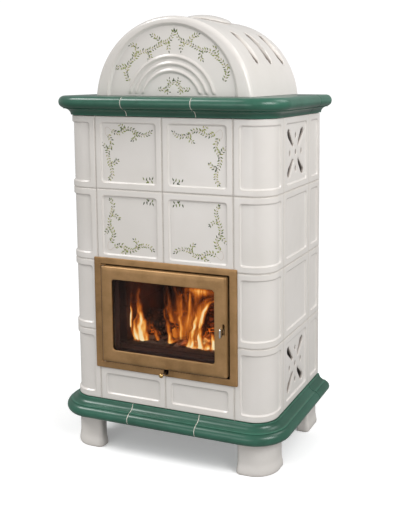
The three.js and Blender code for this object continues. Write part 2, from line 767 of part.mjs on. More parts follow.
function sideBrick(side) {
  const outer = firebox.halfWidth - firebox.steel - 1;
  const inner = outer - brick.thick;
  const x = [side * inner, side * outer].sort((a, b) => a - b);
  return box(x[0], x[1], brick.front, firebox.back - firebox.steel - 1, brick.low, brick.high);
}

function backBrick() {
  const half = firebox.halfWidth - firebox.steel - brick.thick - 2;
  const back = firebox.back - firebox.steel - 1;
  return box(-half, half, back - brick.thick, back, brick.low, brick.high);
}

function hearthGrate() {
  const half = firebox.halfWidth - firebox.steel - 1;
  const { low, thick, slots, slotWidth, slotPitch, slotLength } = grate;
  const plate = box(-half, half, brick.front - 4, firebox.back - 6, low, low + thick);
  const tools = [];
  const middle = 215;
  for (let i = 0; i < slots; i += 1) {
    const x = (i - (slots - 1) / 2) * slotPitch;
    tools.push(box(
      x - slotWidth / 2, x + slotWidth / 2,
      middle - slotLength / 2, middle + slotLength / 2, low - 5, low + thick + 5,
    ));
  }
  return cut(plate, ...tools);
}

function ashPan() {
  const low = firebox.low + firebox.steel + 1.5;
  const high = grate.low - 9;
  const tray = box(-150, 150, 112, 330, low, high);
  return cut(tray, box(-148, 148, 114, 328, low + 2, high + 5));
}

function bafflePlate() {
  const half = firebox.halfWidth - firebox.steel - 2;
  const plate = box(-half, half, 0, 250, 0, 8);
  return plate.rotateX(THREE.MathUtils.degToRad(-12)).translate(0, 128, brick.high + 60);
}

// The hearth's front sill lies on the same ledges as the grate; its lip holds the logs back.
function logRetainer() {
  const half = firebox.halfWidth - firebox.steel - 1;
  const from = firebox.front + firebox.steel + 0.5;
  const to = brick.front - 4.5;
  const plate = box(-half, half, from, to, grate.low, grate.low + sill.thick);
  const lip = box(
    -sill.lipHalf, sill.lipHalf, sill.lipFrom, sill.lipTo, grate.low + 1, sill.lipHigh,
  );
  return join(plate, lip);
}

// -------------------------------------------------------------------- assembly
const stove = new THREE.Group();
stove.name = 'tiled_stove';
stove.position.set(0, -(flue.reach - latch.reach) / 2, -floorZ);

function add(name, geometry, material, position = [0, 0, 0], turn = 0) {
  const mesh = new THREE.Mesh(geometry, material);
  mesh.name = name;
  mesh.position.set(...position);
  mesh.rotation.z = turn;
  stove.add(mesh);
  return mesh;
}

const sides = [['left', -1], ['right', 1]];
const tileWide = tile.pitch - tile.joint;
const tileHigh = tile.row - tile.joint;

sides.forEach(([word, side]) => {
  add(`foot_front_${word}`, frontFoot(side), whiteGlaze, [0, 0, plinthBottom - moundGap]);
  add(`foot_rear_${word}`, rearFoot(side), whiteGlaze, [0, 0, plinthBottom - moundGap]);
  add(`plinth_corner_${word}`, mouldingCorner(side, true), greenGlaze, [0, 0, -moundGap]);
  add(`plinth_rear_${word}`, mouldingRear(side, true), greenGlaze, [0, 0, -moundGap]);
  const top = [0, 0, wallTop + moundGap];
  add(`cornice_corner_${word}`, mouldingCorner(side, false), greenGlaze, top);
  add(`cornice_rear_${word}`, mouldingRear(side, false), greenGlaze, top);
});
add('plinth_front', mouldingFront(true), greenGlaze, [0, 0, -moundGap]);
add('cornice_front', mouldingFront(false), greenGlaze, [0, 0, wallTop + moundGap]);

// Row 1 is the top row. The side tiles of the first and last rows are pierced.
for (let row = 1; row <= tile.rows; row += 1) {
  const low = wallTop - row * tile.row + tile.joint / 2;
  const middle = low + tileHigh / 2;
  sides.forEach(([word, side]) => {
    add(`corner_tile_${word}_${row}`, cornerTile(side, tileHigh), whiteGlaze, [0, 0, low]);
    const place = [side * halfWidth, body.leg + tile.pitch / 2, middle];
    const pierced = row === 1 || row === tile.rows;
    const shape = pierced ? ventTile(tileWide, tileHigh) : flatTile(tileWide, tileHigh);
    const name = pierced ? `vent_tile_${word}_${row}` : `side_tile_${word}_${row}`;
    add(name, shape, whiteGlaze, place, side * Math.PI / 2);
    if (row <= 2) {
      const front = [side * tile.pitch / 2, 0, middle];
      add(`front_tile_${word}_${row}`, flatTile(tileWide, tileHigh), whiteGlaze, front);
    }
  });
}
const halfTile = frame.low - tile.joint;
sides.forEach(([word, side]) => {
  const low = [side * tile.pitch / 2, 0, tile.joint / 2 + halfTile / 2];
  add(`front_half_tile_${word}`, flatTile(tileWide, halfTile), whiteGlaze, low);
  const rear = [side * halfWidth, depth - (body.rearTile - tile.joint / 2) / 2, 0];
  const column = tileColumn(body.rearTile - tile.joint / 2);
  add(`rear_tiles_${word}`, column, whiteGlaze, rear, side * Math.PI / 2);
});

add('crown', crownVault(), whiteGlaze);
add('flue_cap', flueCap(), whiteGlaze);
add('door_frame', doorFrame(), bronze);
add('door_panel', doorPanel(), bronze);
add('door_glass', doorGlass(), ceramicGlass);
add('glass_frame', glassRetainer(), blackSteel);
add('door_seal', doorSeal(), sealRope);
add('hinge_rod', hingeRod(), polishedSteel);
add('latch_lever', latchLever(), polishedSteel);
add('air_slide', airSlide(), polishedSteel);
add('air_knob', airKnob(), brass);
add('firebox_body', fireboxBody(), blackSteel);
add('flue_spigot', flueSpigot(), blackSteel);
add('rear_panel', rearPanel(), galvanised);
add('base_frame', baseFrame(), blackSteel);
sides.forEach(([word, side]) => add(`firebrick_${word}`, sideBrick(side), firebrickClay));
add('firebrick_back', backBrick(), firebrickClay);
add('hearth_grate', hearthGrate(), castIron);
add('ash_pan', ashPan(), galvanised);
add('baffle_plate', bafflePlate(), blackSteel);
add('log_retainer', logRetainer(), castIron);

export default stove;
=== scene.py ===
# %% [markdown]
# # A tiled stove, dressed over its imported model
#
# The real object is a wood stove in a coat of glazed tiles: white recessed tiles between a
# green plinth and a green cornice, an arched crown on top and a bronze fire door in front.
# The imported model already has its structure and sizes. This lesson makes every visible piece
# again as a fine surface, glazes or lacquers it, lights a fire and sets up a studio picture.
# Each shape is a formula on a grid of numbers, so it can be changed by changing a number.

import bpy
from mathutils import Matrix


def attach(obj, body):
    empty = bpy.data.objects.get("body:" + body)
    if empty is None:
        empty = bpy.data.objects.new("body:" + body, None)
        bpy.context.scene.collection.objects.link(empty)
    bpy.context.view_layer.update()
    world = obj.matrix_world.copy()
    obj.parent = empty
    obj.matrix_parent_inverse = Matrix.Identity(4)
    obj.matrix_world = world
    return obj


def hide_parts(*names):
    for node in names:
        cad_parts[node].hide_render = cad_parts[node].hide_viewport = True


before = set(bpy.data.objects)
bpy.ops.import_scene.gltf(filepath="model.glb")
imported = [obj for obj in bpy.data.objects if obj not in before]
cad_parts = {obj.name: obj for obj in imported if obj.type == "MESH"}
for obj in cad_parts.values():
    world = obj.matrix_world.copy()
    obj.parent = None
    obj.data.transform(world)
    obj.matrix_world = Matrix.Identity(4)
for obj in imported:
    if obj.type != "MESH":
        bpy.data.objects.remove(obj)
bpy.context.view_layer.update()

import bmesh
import bpy
import numpy as np
from mathutils import Vector
from mathutils.geometry import delaunay_2d_cdt, tessellate_polygon

# %% [markdown]
# A stove fitter measures from faces that can be touched, not from the middle of the stove.
# So points are worked out in millimetres with Y = 0 on the front tile face and Z = 0 on top
# of the plinth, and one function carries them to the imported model's metres.

# %% Sizes shared by many pieces, in millimetres
PITCH, ROW, JOINT = 226.0, 220.0, 2.0           # a tile and its joint, across and up
HALF_WIDTH, DEPTH, WALL_TOP = 337.5, 446.5, 880.0
CORNER_LEG, CORNER_RADIUS = 111.5, 68.5
FRONT_FACE_Y, PLINTH_TOP_Z = -224.0, 161.5      # where those two faces lie in the model


def to_frame(points):
    """Shift by the two touch faces, then divide by a thousand."""
    return (np.asarray(points, float) + (0.0, FRONT_FACE_Y, PLINTH_TOP_Z)) / 1000


# %% [markdown]
# ## The camera
#
# The photograph looks down a little at the stove's front right corner, and its upright
# edges stay upright, as with a lens that is shifted instead of tilted. A full shift would
# push the stove out of every other view, so part of it is given back as a small tilt: the
# numbers below are the best fit of both to the photograph's corners and seams, about 3.5
# pixels off in the mean. With a full shift the upright edges wouldn't converge at all.

# %% Camera
TILTED_DOWN, TURNED_LEFT = 0.1172, 0.36943      # in radians
camera = bpy.data.objects.new("camera", bpy.data.cameras.new("camera"))
bpy.context.scene.collection.objects.link(camera)
camera.location = (1.13317, -2.25468, 1.1615)
camera.rotation_euler = (np.pi / 2 - TILTED_DOWN, 0, TURNED_LEFT)
camera.data.sensor_width = 36
camera.data.lens = 55.205
camera.data.shift_x, camera.data.shift_y = -0.13, -0.175
bpy.context.scene.camera = camera
bpy.context.scene.view_settings.view_transform = "Standard"
print("camera at", tuple(round(c, 3) for c in camera.location))

# %% [markdown]
# ## Turning formulas into meshes
#
# A surface comes as a patch: either a grid of points, rows by columns, or points with their
# own triangles. Patches that share an edge are welded into one closed skin. Shading is
# smooth except where the skin turns sharply, which is how glaze looks over a form.

# %% Patches
WELD = 4e-6             # metres within which two patches' points are one


def grid_faces(points):
    """A grid's points in one row, and a quad between every four neighbours."""
    rows, columns = points.shape[:2]
    number = np.arange(rows * columns).reshape(rows, columns)
    corners = number[:-1, :-1], number[:-1, 1:], number[1:, 1:], number[1:, :-1]
    return points.reshape(-1, 3), np.stack(corners, -1).reshape(-1, 4)


def flat_cap(loop):
    """Triangles over one flat loop of points."""
    loop = np.asarray(loop, float)
    return loop, np.array(tessellate_polygon([[Vector(p) for p in loop]]))


def shell(front, back, triangles, leave_open=None):
    """Two skins over the same triangles, with a wall along every open edge of them."""
    edges = np.concatenate([triangles[:, [0, 1]], triangles[:, [1, 2]], triangles[:, [2, 0]]])
    _, first, times = np.unique(np.sort(edges, 1), axis=0, return_index=True, return_counts=True)
    rim = edges[first[times == 1]]
    if leave_open is not None:
        rim = rim[~(leave_open[rim[:, 0]] & leave_open[rim[:, 1]])]
    count = len(front)
    points = np.concatenate([front, back])
    wall = np.stack([rim[:, 1], rim[:, 0], rim[:, 0] + count, rim[:, 1] + count], -1)
    return [(points, np.concatenate([triangles, triangles[:, ::-1] + count])), (points, wall)]


def make_piece(name, patches, material, slot, body="stove", stands_for=(), crease=40, marks=None,
               stage=False):
    """Weld patches into one skin facing outwards and let it ride on a body.
    marks gives a number for each point of each patch, kept as "mark": the finish says what it
    means, mostly from 0 to 1, and 2 is bare clay, which on the walls of slots and holes is also painted
    shade."""
    points, corners, sizes, count = [], [], [], 0
    for patch in patches:
        p, f = patch if isinstance(patch, tuple) else grid_faces(patch)
        points.append(p)
        corners.append((f + count).ravel())
        sizes.append(np.full(len(f), f.shape[1]))
        count += len(p)
    sizes = np.concatenate(sizes)
    mesh = bpy.data.meshes.new(name)
    mesh.vertices.add(count)
    mesh.vertices.foreach_set("co", to_frame(np.concatenate(points)).ravel())
    mesh.loops.add(int(sizes.sum()))
    mesh.loops.foreach_set("vertex_index", np.concatenate(corners).astype(np.int32))
    mesh.polygons.add(len(sizes))
    mesh.polygons.foreach_set("loop_start", (np.cumsum(sizes) - sizes).astype(np.int32))
    if marks is not None:
        kept = mesh.attributes.new("mark", "FLOAT", "POINT")
        kept.data.foreach_set("value", np.concatenate([np.ravel(m) for m in marks]).astype(np.float32))
    mesh.update(calc_edges=True)
    form = bmesh.new()
    form.from_mesh(mesh)
    bmesh.ops.remove_doubles(form, verts=form.verts, dist=WELD)
    bmesh.ops.recalc_face_normals(form, faces=form.faces)
    open_edges = sum(not e.is_manifold for e in form.edges)
    form.to_mesh(mesh)
    form.free()
    mesh.polygons.foreach_set("use_smooth", np.ones(len(mesh.polygons), bool))
    mesh.set_sharp_from_angle(angle=np.radians(crease))
    mesh.materials.append(material)
    piece = bpy.data.objects.new(name, mesh)
    bpy.context.scene.collection.objects.link(piece)
    if stage:
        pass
    else:
        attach(piece, body)
    if stands_for:
        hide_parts(*stands_for)
    print(f"{name}: {len(mesh.polygons)} faces" + (f", {open_edges} open edges" if open_edges else ""))


# %% [markdown]
# Sheet metal and pierced tiles are outlines with holes. An outline is kept as a ring that
# can grow or shrink, so that rings round each hole can carry the soft edge that glaze or a
# press leaves. Between the rings a grid is filled in, and the triangles follow from it.

# %% Outlines
def loop_distance(loop):
    """How far a point lies outside a closed loop, and less than nothing inside it."""
    start, side = loop, np.roll(loop, -1, 0) - loop

    def distance(p):
        away = p[:, None] - start
        share = np.clip((away * side).sum(-1) / (side * side).sum(-1).clip(1e-12), 0, 1)
        near = np.hypot(*(away - share[..., None] * side).transpose(2, 0, 1)).min(1)
        crosses = (away[..., 1] >= 0) != (away[..., 1] >= side[:, 1])
        reach = away[..., 0] * side[:, 1] - away[..., 1] * side[:, 0]
        inside = (crosses & ((reach < 0) == (side[:, 1] > 0))).sum(1) % 2 == 1
        return np.where(inside, -near, near)

    return distance


def outline(corners, radii, steps=5):
    """A polygon, counter-clockwise, whose sides move out by g mm and whose corners are arcs."""
    corners = np.array(corners, float)
    radii = np.broadcast_to(np.asarray(radii, float), len(corners))
    toward = np.roll(corners, -1, 0) - corners
    toward /= np.linalg.norm(toward, axis=1, keepdims=True)
    came = np.roll(toward, 1, 0)
    out = np.stack([came[:, 1], -came[:, 0]], -1)
    out_next = np.stack([toward[:, 1], -toward[:, 0]], -1)
    turn = np.arctan2(came[:, 0] * toward[:, 1] - came[:, 1] * toward[:, 0], (came * toward).sum(1))

    def ring(g=0.0):
        moved = corners + g * (out + out_next) / (1 + (out * out_next).sum(1, keepdims=True))
        radius = np.maximum(radii + np.sign(turn) * g, 0.15)[:, None]
        spoke = out * radius * np.sign(turn)[:, None]
        centre = moved - came * radius * np.tan(np.abs(turn) / 2)[:, None] - spoke
        angle = turn[:, None] * np.linspace(0, 1, steps + 1)
        x, z = spoke[:, :1], spoke[:, 1:]
        arc = np.stack([x * np.cos(angle) - z * np.sin(angle), x * np.sin(angle) + z * np.cos(angle)], -1)
        return (centre[:, None] + arc).reshape(-1, 2)

    return ring, loop_distance(ring())


def box_outline(x0, x1, z0, z1, radius, steps=5):
    """A rectangle with round corners."""
    return outline([(x0, z0), (x1, z0), (x1, z1), (x0, z1)], radius, steps)


def close_set(loop, longest):
    """A closed loop with points added so that no side is longer than asked."""
    side = np.roll(loop, -1, 0) - loop
    parts = np.maximum(1, np.ceil(np.hypot(*side.T) / longest)).astype(int)
    place = np.arange(parts.sum()) - np.repeat(np.cumsum(parts) - parts, parts)
    return np.repeat(loop, parts, 0) + np.repeat(side, parts, 0) * (place / np.repeat(parts, parts))[:, None]


# %% Sheets with holes
RING_GAP, HOLE_GAP = 0.2, 1.0       # least way from a ring to an edge, and from filling to a ring
UNSPLIT = 1e3                       # a longest side that leaves every side as it is


def eased(distance, radius):
    """The depth of a quarter round of that radius, at a distance in from the edge."""
    short = radius - np.clip(distance, 0, radius)
    return radius - np.sqrt(radius**2 - short**2)


def pierced(outer, holes, steps, filling, longest=8.0, hole_steps=None, clear=1.0):
    """Triangles over an outline less its holes: rings at the given distances from each edge,
    the filling's points between them, and each point's distance from the nearest edge.
    The filling stays clear of the last ring, and outside by as much as clear says."""
    loops, fixed, count = [], [], 0
    for number, (ring, _) in enumerate([outer, *holes]):
        for g in steps if number == 0 or hole_steps is None else hole_steps:
            loop = close_set(ring(-g if number == 0 else g), longest)
            if g == 0:
                here = count + np.arange(len(loop))
                fixed.append(np.stack([here, np.roll(here, -1)], -1))
                count += len(loop)
                loops.insert(number, loop)
            else:
                loops.append(loop)
    points = np.concatenate(loops)

    def hole_distance(p):
        return np.min([np.full(len(p), 1e9)] + [distance(p) for _, distance in holes], axis=0)

    def edge_distance(p):
        return np.minimum(-outer[1](p), hole_distance(p))

    keep = (np.arange(len(points)) < count) | (edge_distance(points) > RING_GAP)
    inner = filling[-outer[1](filling) > max(steps) + clear]
    inner = inner[hole_distance(inner) > max(hole_steps or steps) + HOLE_GAP]
    points = np.concatenate([points[keep], inner])
    _, _, faces, origin, _, _ = delaunay_2d_cdt(
        [Vector(p) for p in points], np.concatenate(fixed).tolist(), [], 0, 1e-5)
    triangles = np.array([o[0] for o in origin])[np.array(faces)]
    middle = points[triangles].mean(1)
    triangles = triangles[edge_distance(middle) > 0]
    gap = edge_distance(points)
    gap[:count] = 0
    return points, triangles, gap


def lattice(x0, x1, z0, z1, step):
    """Evenly set points over a rectangle."""
    x, z = np.meshgrid(np.arange(x0 + step / 2, x1, step), np.arange(z0 + step / 2, z1, step))
    return np.stack([x.ravel(), z.ravel()], -1)


# %% Turned and swept forms
def turned(profile, segments=64):
    """A profile of (radius, height) carried round an axis: rows are the angles."""
    angle = np.linspace(0, 2 * np.pi, segments + 1)[:, None]
    radius, height = np.asarray(profile, float).T
    return np.stack([radius * np.cos(angle), radius * np.sin(angle), height + 0 * angle], -1)


def tube(path, radius, segments=12, closed=False):
    """A circle carried along a path: its two spokes are square to the path and to each other.
    radius is one number, or one for each point of the path and each of the segments + 1 angles."""
    path = np.asarray(path, float)
    way = np.roll(path, -1, 0) - np.roll(path, 1, 0) if closed else np.gradient(path, axis=0)
    way /= np.linalg.norm(way, axis=1, keepdims=True)
    upright = np.where(np.abs(way[:, 2:]) > 0.9, (0.0, 1.0, 0.0), (0.0, 0.0, 1.0))
    spoke = np.cross(way, upright)
    spoke /= np.linalg.norm(spoke, axis=1, keepdims=True)
    angle = np.linspace(0, 2 * np.pi, segments + 1)[None, :, None]
    away = np.cos(angle) * spoke[:, None] + np.sin(angle) * np.cross(way, spoke)[:, None]
    rows = path[:, None] + away * np.broadcast_to(radius, (len(path), segments + 1))[..., None]
    return np.concatenate([rows, rows[:1]]) if closed else rows
# %% [markdown]
# ## Finishes
#
# A finish starts from the real material: how it was made decides its gloss, and what shows
# at arm's length decides its pattern. Colours are written as the eye names them, in
# hexadecimal, and one function turns them into the light values a shader needs.

# %% Colours and nodes
def colour(code):
    """A six-digit colour to linear light: below 0.04 divide by 12.92, above it a power of 2.4."""
    value = np.array([int(code[i:i + 2], 16) / 255 for i in (1, 3, 5)])
    light = np.where(value <= 0.04045, value / 12.92, ((value + 0.055) / 1.055) ** 2.4)
    return (*light.tolist(), 1.0)


def new_finish(name, **inputs):
    """A material with its surface shader; inputs are plain values of the shader's sockets."""
    finish = bpy.data.materials.new(name)
    finish.use_nodes = True
    for key, value in inputs.items():
        finish.node_tree.nodes["Principled BSDF"].inputs[key.replace("_", " ")].default_value = value
    return finish


def add_node(finish, kind, inputs=(), stops=(), **settings):
    """Add one node. Settings go on the node, inputs are values or other nodes' outputs, and
    stops are the places and colours, or grey values, of a colour ramp."""
    node = finish.node_tree.nodes.new("ShaderNode" + kind)
    for key, value in settings.items():
        setattr(node, key, value)
    for key, value in dict(inputs).items():
        if isinstance(value, bpy.types.NodeSocket):
            finish.node_tree.links.new(value, node.inputs[key])
        else:
            node.inputs[key].default_value = value
    for number, (place, shade) in enumerate(stops):
        if number >= len(node.color_ramp.elements):
            node.color_ramp.elements.new(place)
        node.color_ramp.elements[number].position = place
        grey = not isinstance(shade, str)
        node.color_ramp.elements[number].color = (shade, shade, shade, 1) if grey else colour(shade)
    return node


def feed(finish, **links):
    """Join nodes' outputs to the surface shader's sockets."""
    for key, output in links.items():
        socket = finish.node_tree.nodes["Principled BSDF"].inputs[key.replace("_", " ")]
        finish.node_tree.links.new(output, socket)


# %% [markdown]
# ### White glaze
#
# Tin-white stove glaze lies about half a millimetre thick over pale clay. It is fired
# glass, so it is very smooth, but it never lies quite level: it ripples over centimetres,
# and it thins and warms where an edge turns outwards. The ripple is a bump 50 mm across;
# the thin edges come from the mark that each tile's formula leaves on its points.

# %% White glaze
# Bare clay colour, which on the walls of slots and holes also serves as painted shade.
BARE_CLAY_AND_HOLE_SHADE = "#8e837b"


def glaze(name, thick, thin_edge, deep, gloss, coat):
    """Glass over clay: cloudy body colour, a second colour by the mark, and a slow ripple.
    A mark above 1 is bare clay where no glaze was poured; on the walls of slots and holes
    this darker colour is also painted shade, darkest deepest in."""
    finish = new_finish(name, IOR=1.5, Coat_Weight=coat, Coat_Roughness=0.06)
    where = add_node(finish, "TexCoord").outputs["Object"]
    cloud = add_node(finish, "TexNoise", {"Vector": where, "Scale": 6.0, "Detail": 4.0})
    body = add_node(finish, "ValToRGB", {"Fac": cloud.outputs["Fac"]},
                    stops=[(0.32, deep), (0.68, thick)])
    mark = add_node(finish, "Attribute", attribute_name="mark")
    blotch = add_node(finish, "TexNoise", {"Vector": where, "Scale": 45.0, "Detail": 3.0})
    amount = add_node(finish, "Math", {0: mark.outputs["Fac"], 1: blotch.outputs["Fac"]},
                      operation="MULTIPLY")
    double = add_node(finish, "Math", {0: amount.outputs[0], 1: 1.8}, operation="MULTIPLY",
                      use_clamp=True)
    both = add_node(finish, "Mix", {0: double.outputs[0], 6: body.outputs[0],
                                    7: colour(thin_edge)}, data_type="RGBA")
    # Past a mark of 1 the colour turns to bare clay, which inside slots and holes is also painted shade.
    bare_and_shaded = add_node(finish, "MapRange", {"Value": mark.outputs["Fac"], "From Min": 1.0,
                                         "From Max": 1.7})
    clay = add_node(finish, "Mix", {0: bare_and_shaded.outputs[0], 6: both.outputs[2],
                                    7: colour(BARE_CLAY_AND_HOLE_SHADE)}, data_type="RGBA")
    matt = add_node(finish, "MapRange", {"Value": bare_and_shaded.outputs[0], "To Min": gloss, "To Max": 0.9})
    ripple = add_node(finish, "TexNoise", {"Vector": where, "Scale": 20.0, "Detail": 1.0})
    pits = add_node(finish, "TexNoise", {"Vector": where, "Scale": 420.0, "Detail": 1.0})
    slow = add_node(finish, "Bump", {"Strength": 0.35, "Distance": 0.0016,
                                     "Height": ripple.outputs["Fac"]})
    fine = add_node(finish, "Bump", {"Strength": 0.03, "Distance": 0.0005,
                                     "Height": pits.outputs["Fac"], "Normal": slow.outputs[0]})
    feed(finish, Base_Color=clay.outputs[2], Roughness=matt.outputs[0], Normal=fine.outputs[0])
    return finish


white_glaze = glaze("white_stove_glaze", "#dcd7d2", "#cbc3bb", "#d7d2cc", 0.24, 0.08)

# %% [markdown]
# ### Green glaze
#
# The mouldings wear a transparent copper-green glaze. It runs off edges and pools in
# hollows, so the same bath of glaze is pale on a nose and nearly black-green in a cove.
# The mark is 1 where the section turns outwards and 0 where the glaze pools.

# %% Green glaze
green_glaze = glaze("green_copper_glaze", "#2a5948", "#3f7763", "#214939", 0.3, 0.0)

# %% [markdown]
# ### Grout and bare clay
#
# The joints are filled with a sandy, lime-coloured grout, rubbed back below the edges. Sand
# grains are under a millimetre; they are drawn 2 mm wide, because finer ones don't show.

# %% Grout
def lime_grout(name, dark, light, roughness, grains):
    """Sand in lime: one noise sets the colour, and the relief as far as grains stand out."""
    finish = new_finish(name, Roughness=roughness)
    where = add_node(finish, "TexCoord").outputs["Object"]
    sand = add_node(finish, "TexNoise", {"Vector": where, "Scale": 500.0, "Detail": 2.0})
    sandy = add_node(finish, "ValToRGB", {"Fac": sand.outputs["Fac"]},
                     stops=[(0.3, dark), (0.7, light)])
    feed(finish, Base_Color=sandy.outputs[0])
    if grains:
        rough = add_node(finish, "Bump", {"Strength": grains, "Distance": 0.0006,
                                          "Height": sand.outputs["Fac"]})
        feed(finish, Normal=rough.outputs[0])
    return finish


grout = lime_grout("sandy_lime_grout", "#c2bcb4", "#d3cec7", 0.9, 0.4)
pale_grout = lime_grout("pale_lime_grout", "#cfc7bb", "#e4ded4", 0.85, 0)

# %% [markdown]
# ### Bronze lacquer, brass and chrome
#
# The door is pressed steel, brushed along its length and lacquered bronze, so it is half
# metal and half paint: a satin gloss with streaks about 24 mm long and 1 mm high, and darker
# clouds where hands and heat have aged it. A mark of 1 is painted shade: the frame's lip that
# faces the door is darkened to a dark line that stands for the shadow in the gap round the door.
# The knob is turned brass and the lever is chromed: both are bare metal, so one slow pattern
# gives them their smears, a little darker and a little duller.

# %% Metals that are touched
bronze = new_finish("satin_bronze_lacquer", Metallic=0.55, Roughness=0.4)
where = add_node(bronze, "TexCoord").outputs["Object"]
long_way = add_node(bronze, "Mapping", {"Vector": where, "Scale": (3, 3, 60)})
brushed = add_node(bronze, "TexNoise", {"Vector": long_way.outputs[0], "Scale": 14.0, "Detail": 5.0})
cloudy = add_node(bronze, "TexNoise", {"Vector": where, "Scale": 14.0, "Detail": 5.0,
                                       "Roughness": 0.62})
tone = add_node(bronze, "ValToRGB", {"Fac": cloudy.outputs["Fac"]},
                stops=[(0.33, "#927048"), (0.5, "#a58054"), (0.66, "#b0895d")])
streak = add_node(bronze, "ValToRGB", {"Fac": brushed.outputs["Fac"]}, stops=[(0.3, 0.9), (0.7, 1.0)])
shaded = add_node(bronze, "Mix", {0: 1.0, 6: tone.outputs[0], 7: streak.outputs[0]},
                  data_type="RGBA", blend_type="MULTIPLY")
satin = add_node(bronze, "MapRange", {"Value": brushed.outputs["Fac"], "To Min": 0.34, "To Max": 0.48})
grain = add_node(bronze, "Bump", {"Strength": 0.08, "Distance": 0.0004,
                                  "Height": brushed.outputs["Fac"]})
# Painted shade: where the mark is 1, the frame's lip round the door turns dark brown, standing for the
# shadow in the gap between frame and door.
mark = add_node(bronze, "Attribute", attribute_name="mark")
gap_shade = add_node(bronze, "Mix", {0: mark.outputs["Fac"], 6: shaded.outputs[2],
                                 7: colour("#2a1d16")}, data_type="RGBA")
feed(bronze, Base_Color=gap_shade.outputs[2], Roughness=satin.outputs[0], Normal=grain.outputs[0])


def smeared_metal(name, scale, detail, shades, gloss):
    """Bare metal: one noise sets the colour between two shades, and the gloss."""
    finish = new_finish(name, Metallic=1.0)
    where = add_node(finish, "TexCoord").outputs["Object"]
    smear = add_node(finish, "TexNoise", {"Vector": where, "Scale": scale, "Detail": detail})
    tone = add_node(finish, "ValToRGB", {"Fac": smear.outputs["Fac"]}, stops=list(zip((0.3, 0.7), shades)))
    dull = add_node(finish, "MapRange", {"Value": smear.outputs["Fac"], "To Min": gloss[0],
                                         "To Max": gloss[1]})
    feed(finish, Base_Color=tone.outputs[0], Roughness=dull.outputs[0])
    return finish


brass = smeared_metal("turned_brass", 160.0, 3.0, ("#a98b55", "#c6a771"), (0.14, 0.26))
chrome = smeared_metal("chromed_steel", 90.0, 4.0, ("#c2c4c5", "#dadbdb"), (0.08, 0.2))

# %% [markdown]
# ### Inside the stove
#
# Stove paint is a flat, sooty black. Castings show sand grain, folded sheet wears a zinc
# coat whose crystals make a spangle about 9 mm across, and firebrick is a porous clay that
# the fire darkens. The door's pane is clear glass-ceramic, a little smoked in use; it bends
# light less than bare glass, as a coated pane, so that the white room doesn't veil the fire.

# %% Stove paint, castings, zinc, brick, rope and glass
def rough_finish(name, dark, light, size, bump, roughness, metallic=0.0):
    """A grained finish: noise of one grain size, in mm, sets both the colour and a small relief."""
    finish = new_finish(name, Roughness=roughness, Metallic=metallic)
    where = add_node(finish, "TexCoord").outputs["Object"]
    fine = add_node(finish, "TexNoise", {"Vector": where, "Scale": 1000.0 / size, "Detail": 3.0})
    wide = add_node(finish, "TexNoise", {"Vector": where, "Scale": 9.0, "Detail": 5.0})
    mottle = add_node(finish, "Mix", {0: 0.6, 2: fine.outputs["Fac"], 3: wide.outputs["Fac"]})
    tone = add_node(finish, "ValToRGB", {"Fac": mottle.outputs[0]}, stops=[(0.35, dark), (0.65, light)])
    relief = add_node(finish, "Bump", {"Strength": 0.5, "Distance": bump,
                                       "Height": fine.outputs["Fac"]})
    feed(finish, Base_Color=tone.outputs[0], Normal=relief.outputs[0])
    return finish


stove_paint = rough_finish("matt_stove_paint", "#1f1a19", "#2e2725", 2.0, 0.0003, 0.7, 0.1)
sooty_steel = rough_finish("sooty_steel", "#5a4340", "#6e5650", 5.0, 0.0004, 0.85)
cast_iron = rough_finish("sand_cast_iron", "#4c3834", "#604a45", 3.0, 0.0009, 0.8, 0.2)
fireclay = rough_finish("sooty_fireclay", "#452e29", "#654a41", 4.0, 0.0012, 0.95)

zinc = new_finish("spangled_zinc_coat", Metallic=0.85)
where = add_node(zinc, "TexCoord").outputs["Object"]
spangle = add_node(zinc, "TexVoronoi", {"Vector": where, "Scale": 110.0})
silver = add_node(zinc, "ValToRGB", {"Fac": spangle.outputs["Color"]},
                  stops=[(0.2, "#94999c"), (0.8, "#a4a8ab")])
dull = add_node(zinc, "MapRange", {"Value": spangle.outputs["Color"], "To Min": 0.42, "To Max": 0.5})
feed(zinc, Base_Color=silver.outputs[0], Roughness=dull.outputs[0])

rope = rough_finish("braided_glass_rope", "#3c3936", "#6a655f", 1.5, 0.0008, 0.95)

pane_glass = new_finish("clear_glass_ceramic", IOR=1.2, Roughness=0.02, Transmission_Weight=1.0)
where = add_node(pane_glass, "TexCoord").outputs["Object"]
smoke = add_node(pane_glass, "TexNoise", {"Vector": where, "Scale": 12.0, "Detail": 3.0})
smoked = add_node(pane_glass, "ValToRGB", {"Fac": smoke.outputs["Fac"]},
                  stops=[(0.3, "#e4dbd4"), (0.7, "#efe8e2")])
feed(pane_glass, Base_Color=smoked.outputs[0])
print("finishes:", sorted(m.name for m in bpy.data.materials if m.use_nodes))
# %% [markdown]
# ## The tiles
#
# A stove tile is pressed clay: a face about 13 mm thick with a rim behind it that holds it
# in the wall. Its face has a flat border and a field sunk 4.5 mm, and the glaze rounds every
# edge. All of them, flat or bent round the corner, share one relief: the depth behind the
# face depends only on how far in from the tile's edge a point lies. The tile is then laid
# along the wall by a second function, so a corner tile is the flat one, bent.

# %% Relief of a tile
BORDER, SLOPE, RECESS, SOFT = 17.5, 5.0, 4.5, 2.4
EDGE_ROUND, FIELD_ROUND = 3, 11                 # radius of the tile's and of the field's corners
PLATE, RIM, RIM_WALL = 13.0, 45.0, 10.0


def inside_by(along, up, length, height, inset, radius):
    """How far a point lies inside a rectangle with round corners, inset from the tile."""
    across = np.abs(along - length / 2) - (length / 2 - inset - radius)
    rising = np.abs(up - height / 2) - (height / 2 - inset - radius)
    past_corner = np.hypot(np.maximum(across, 0), np.maximum(rising, 0))
    return radius - past_corner - np.minimum(np.maximum(across, rising), 0)


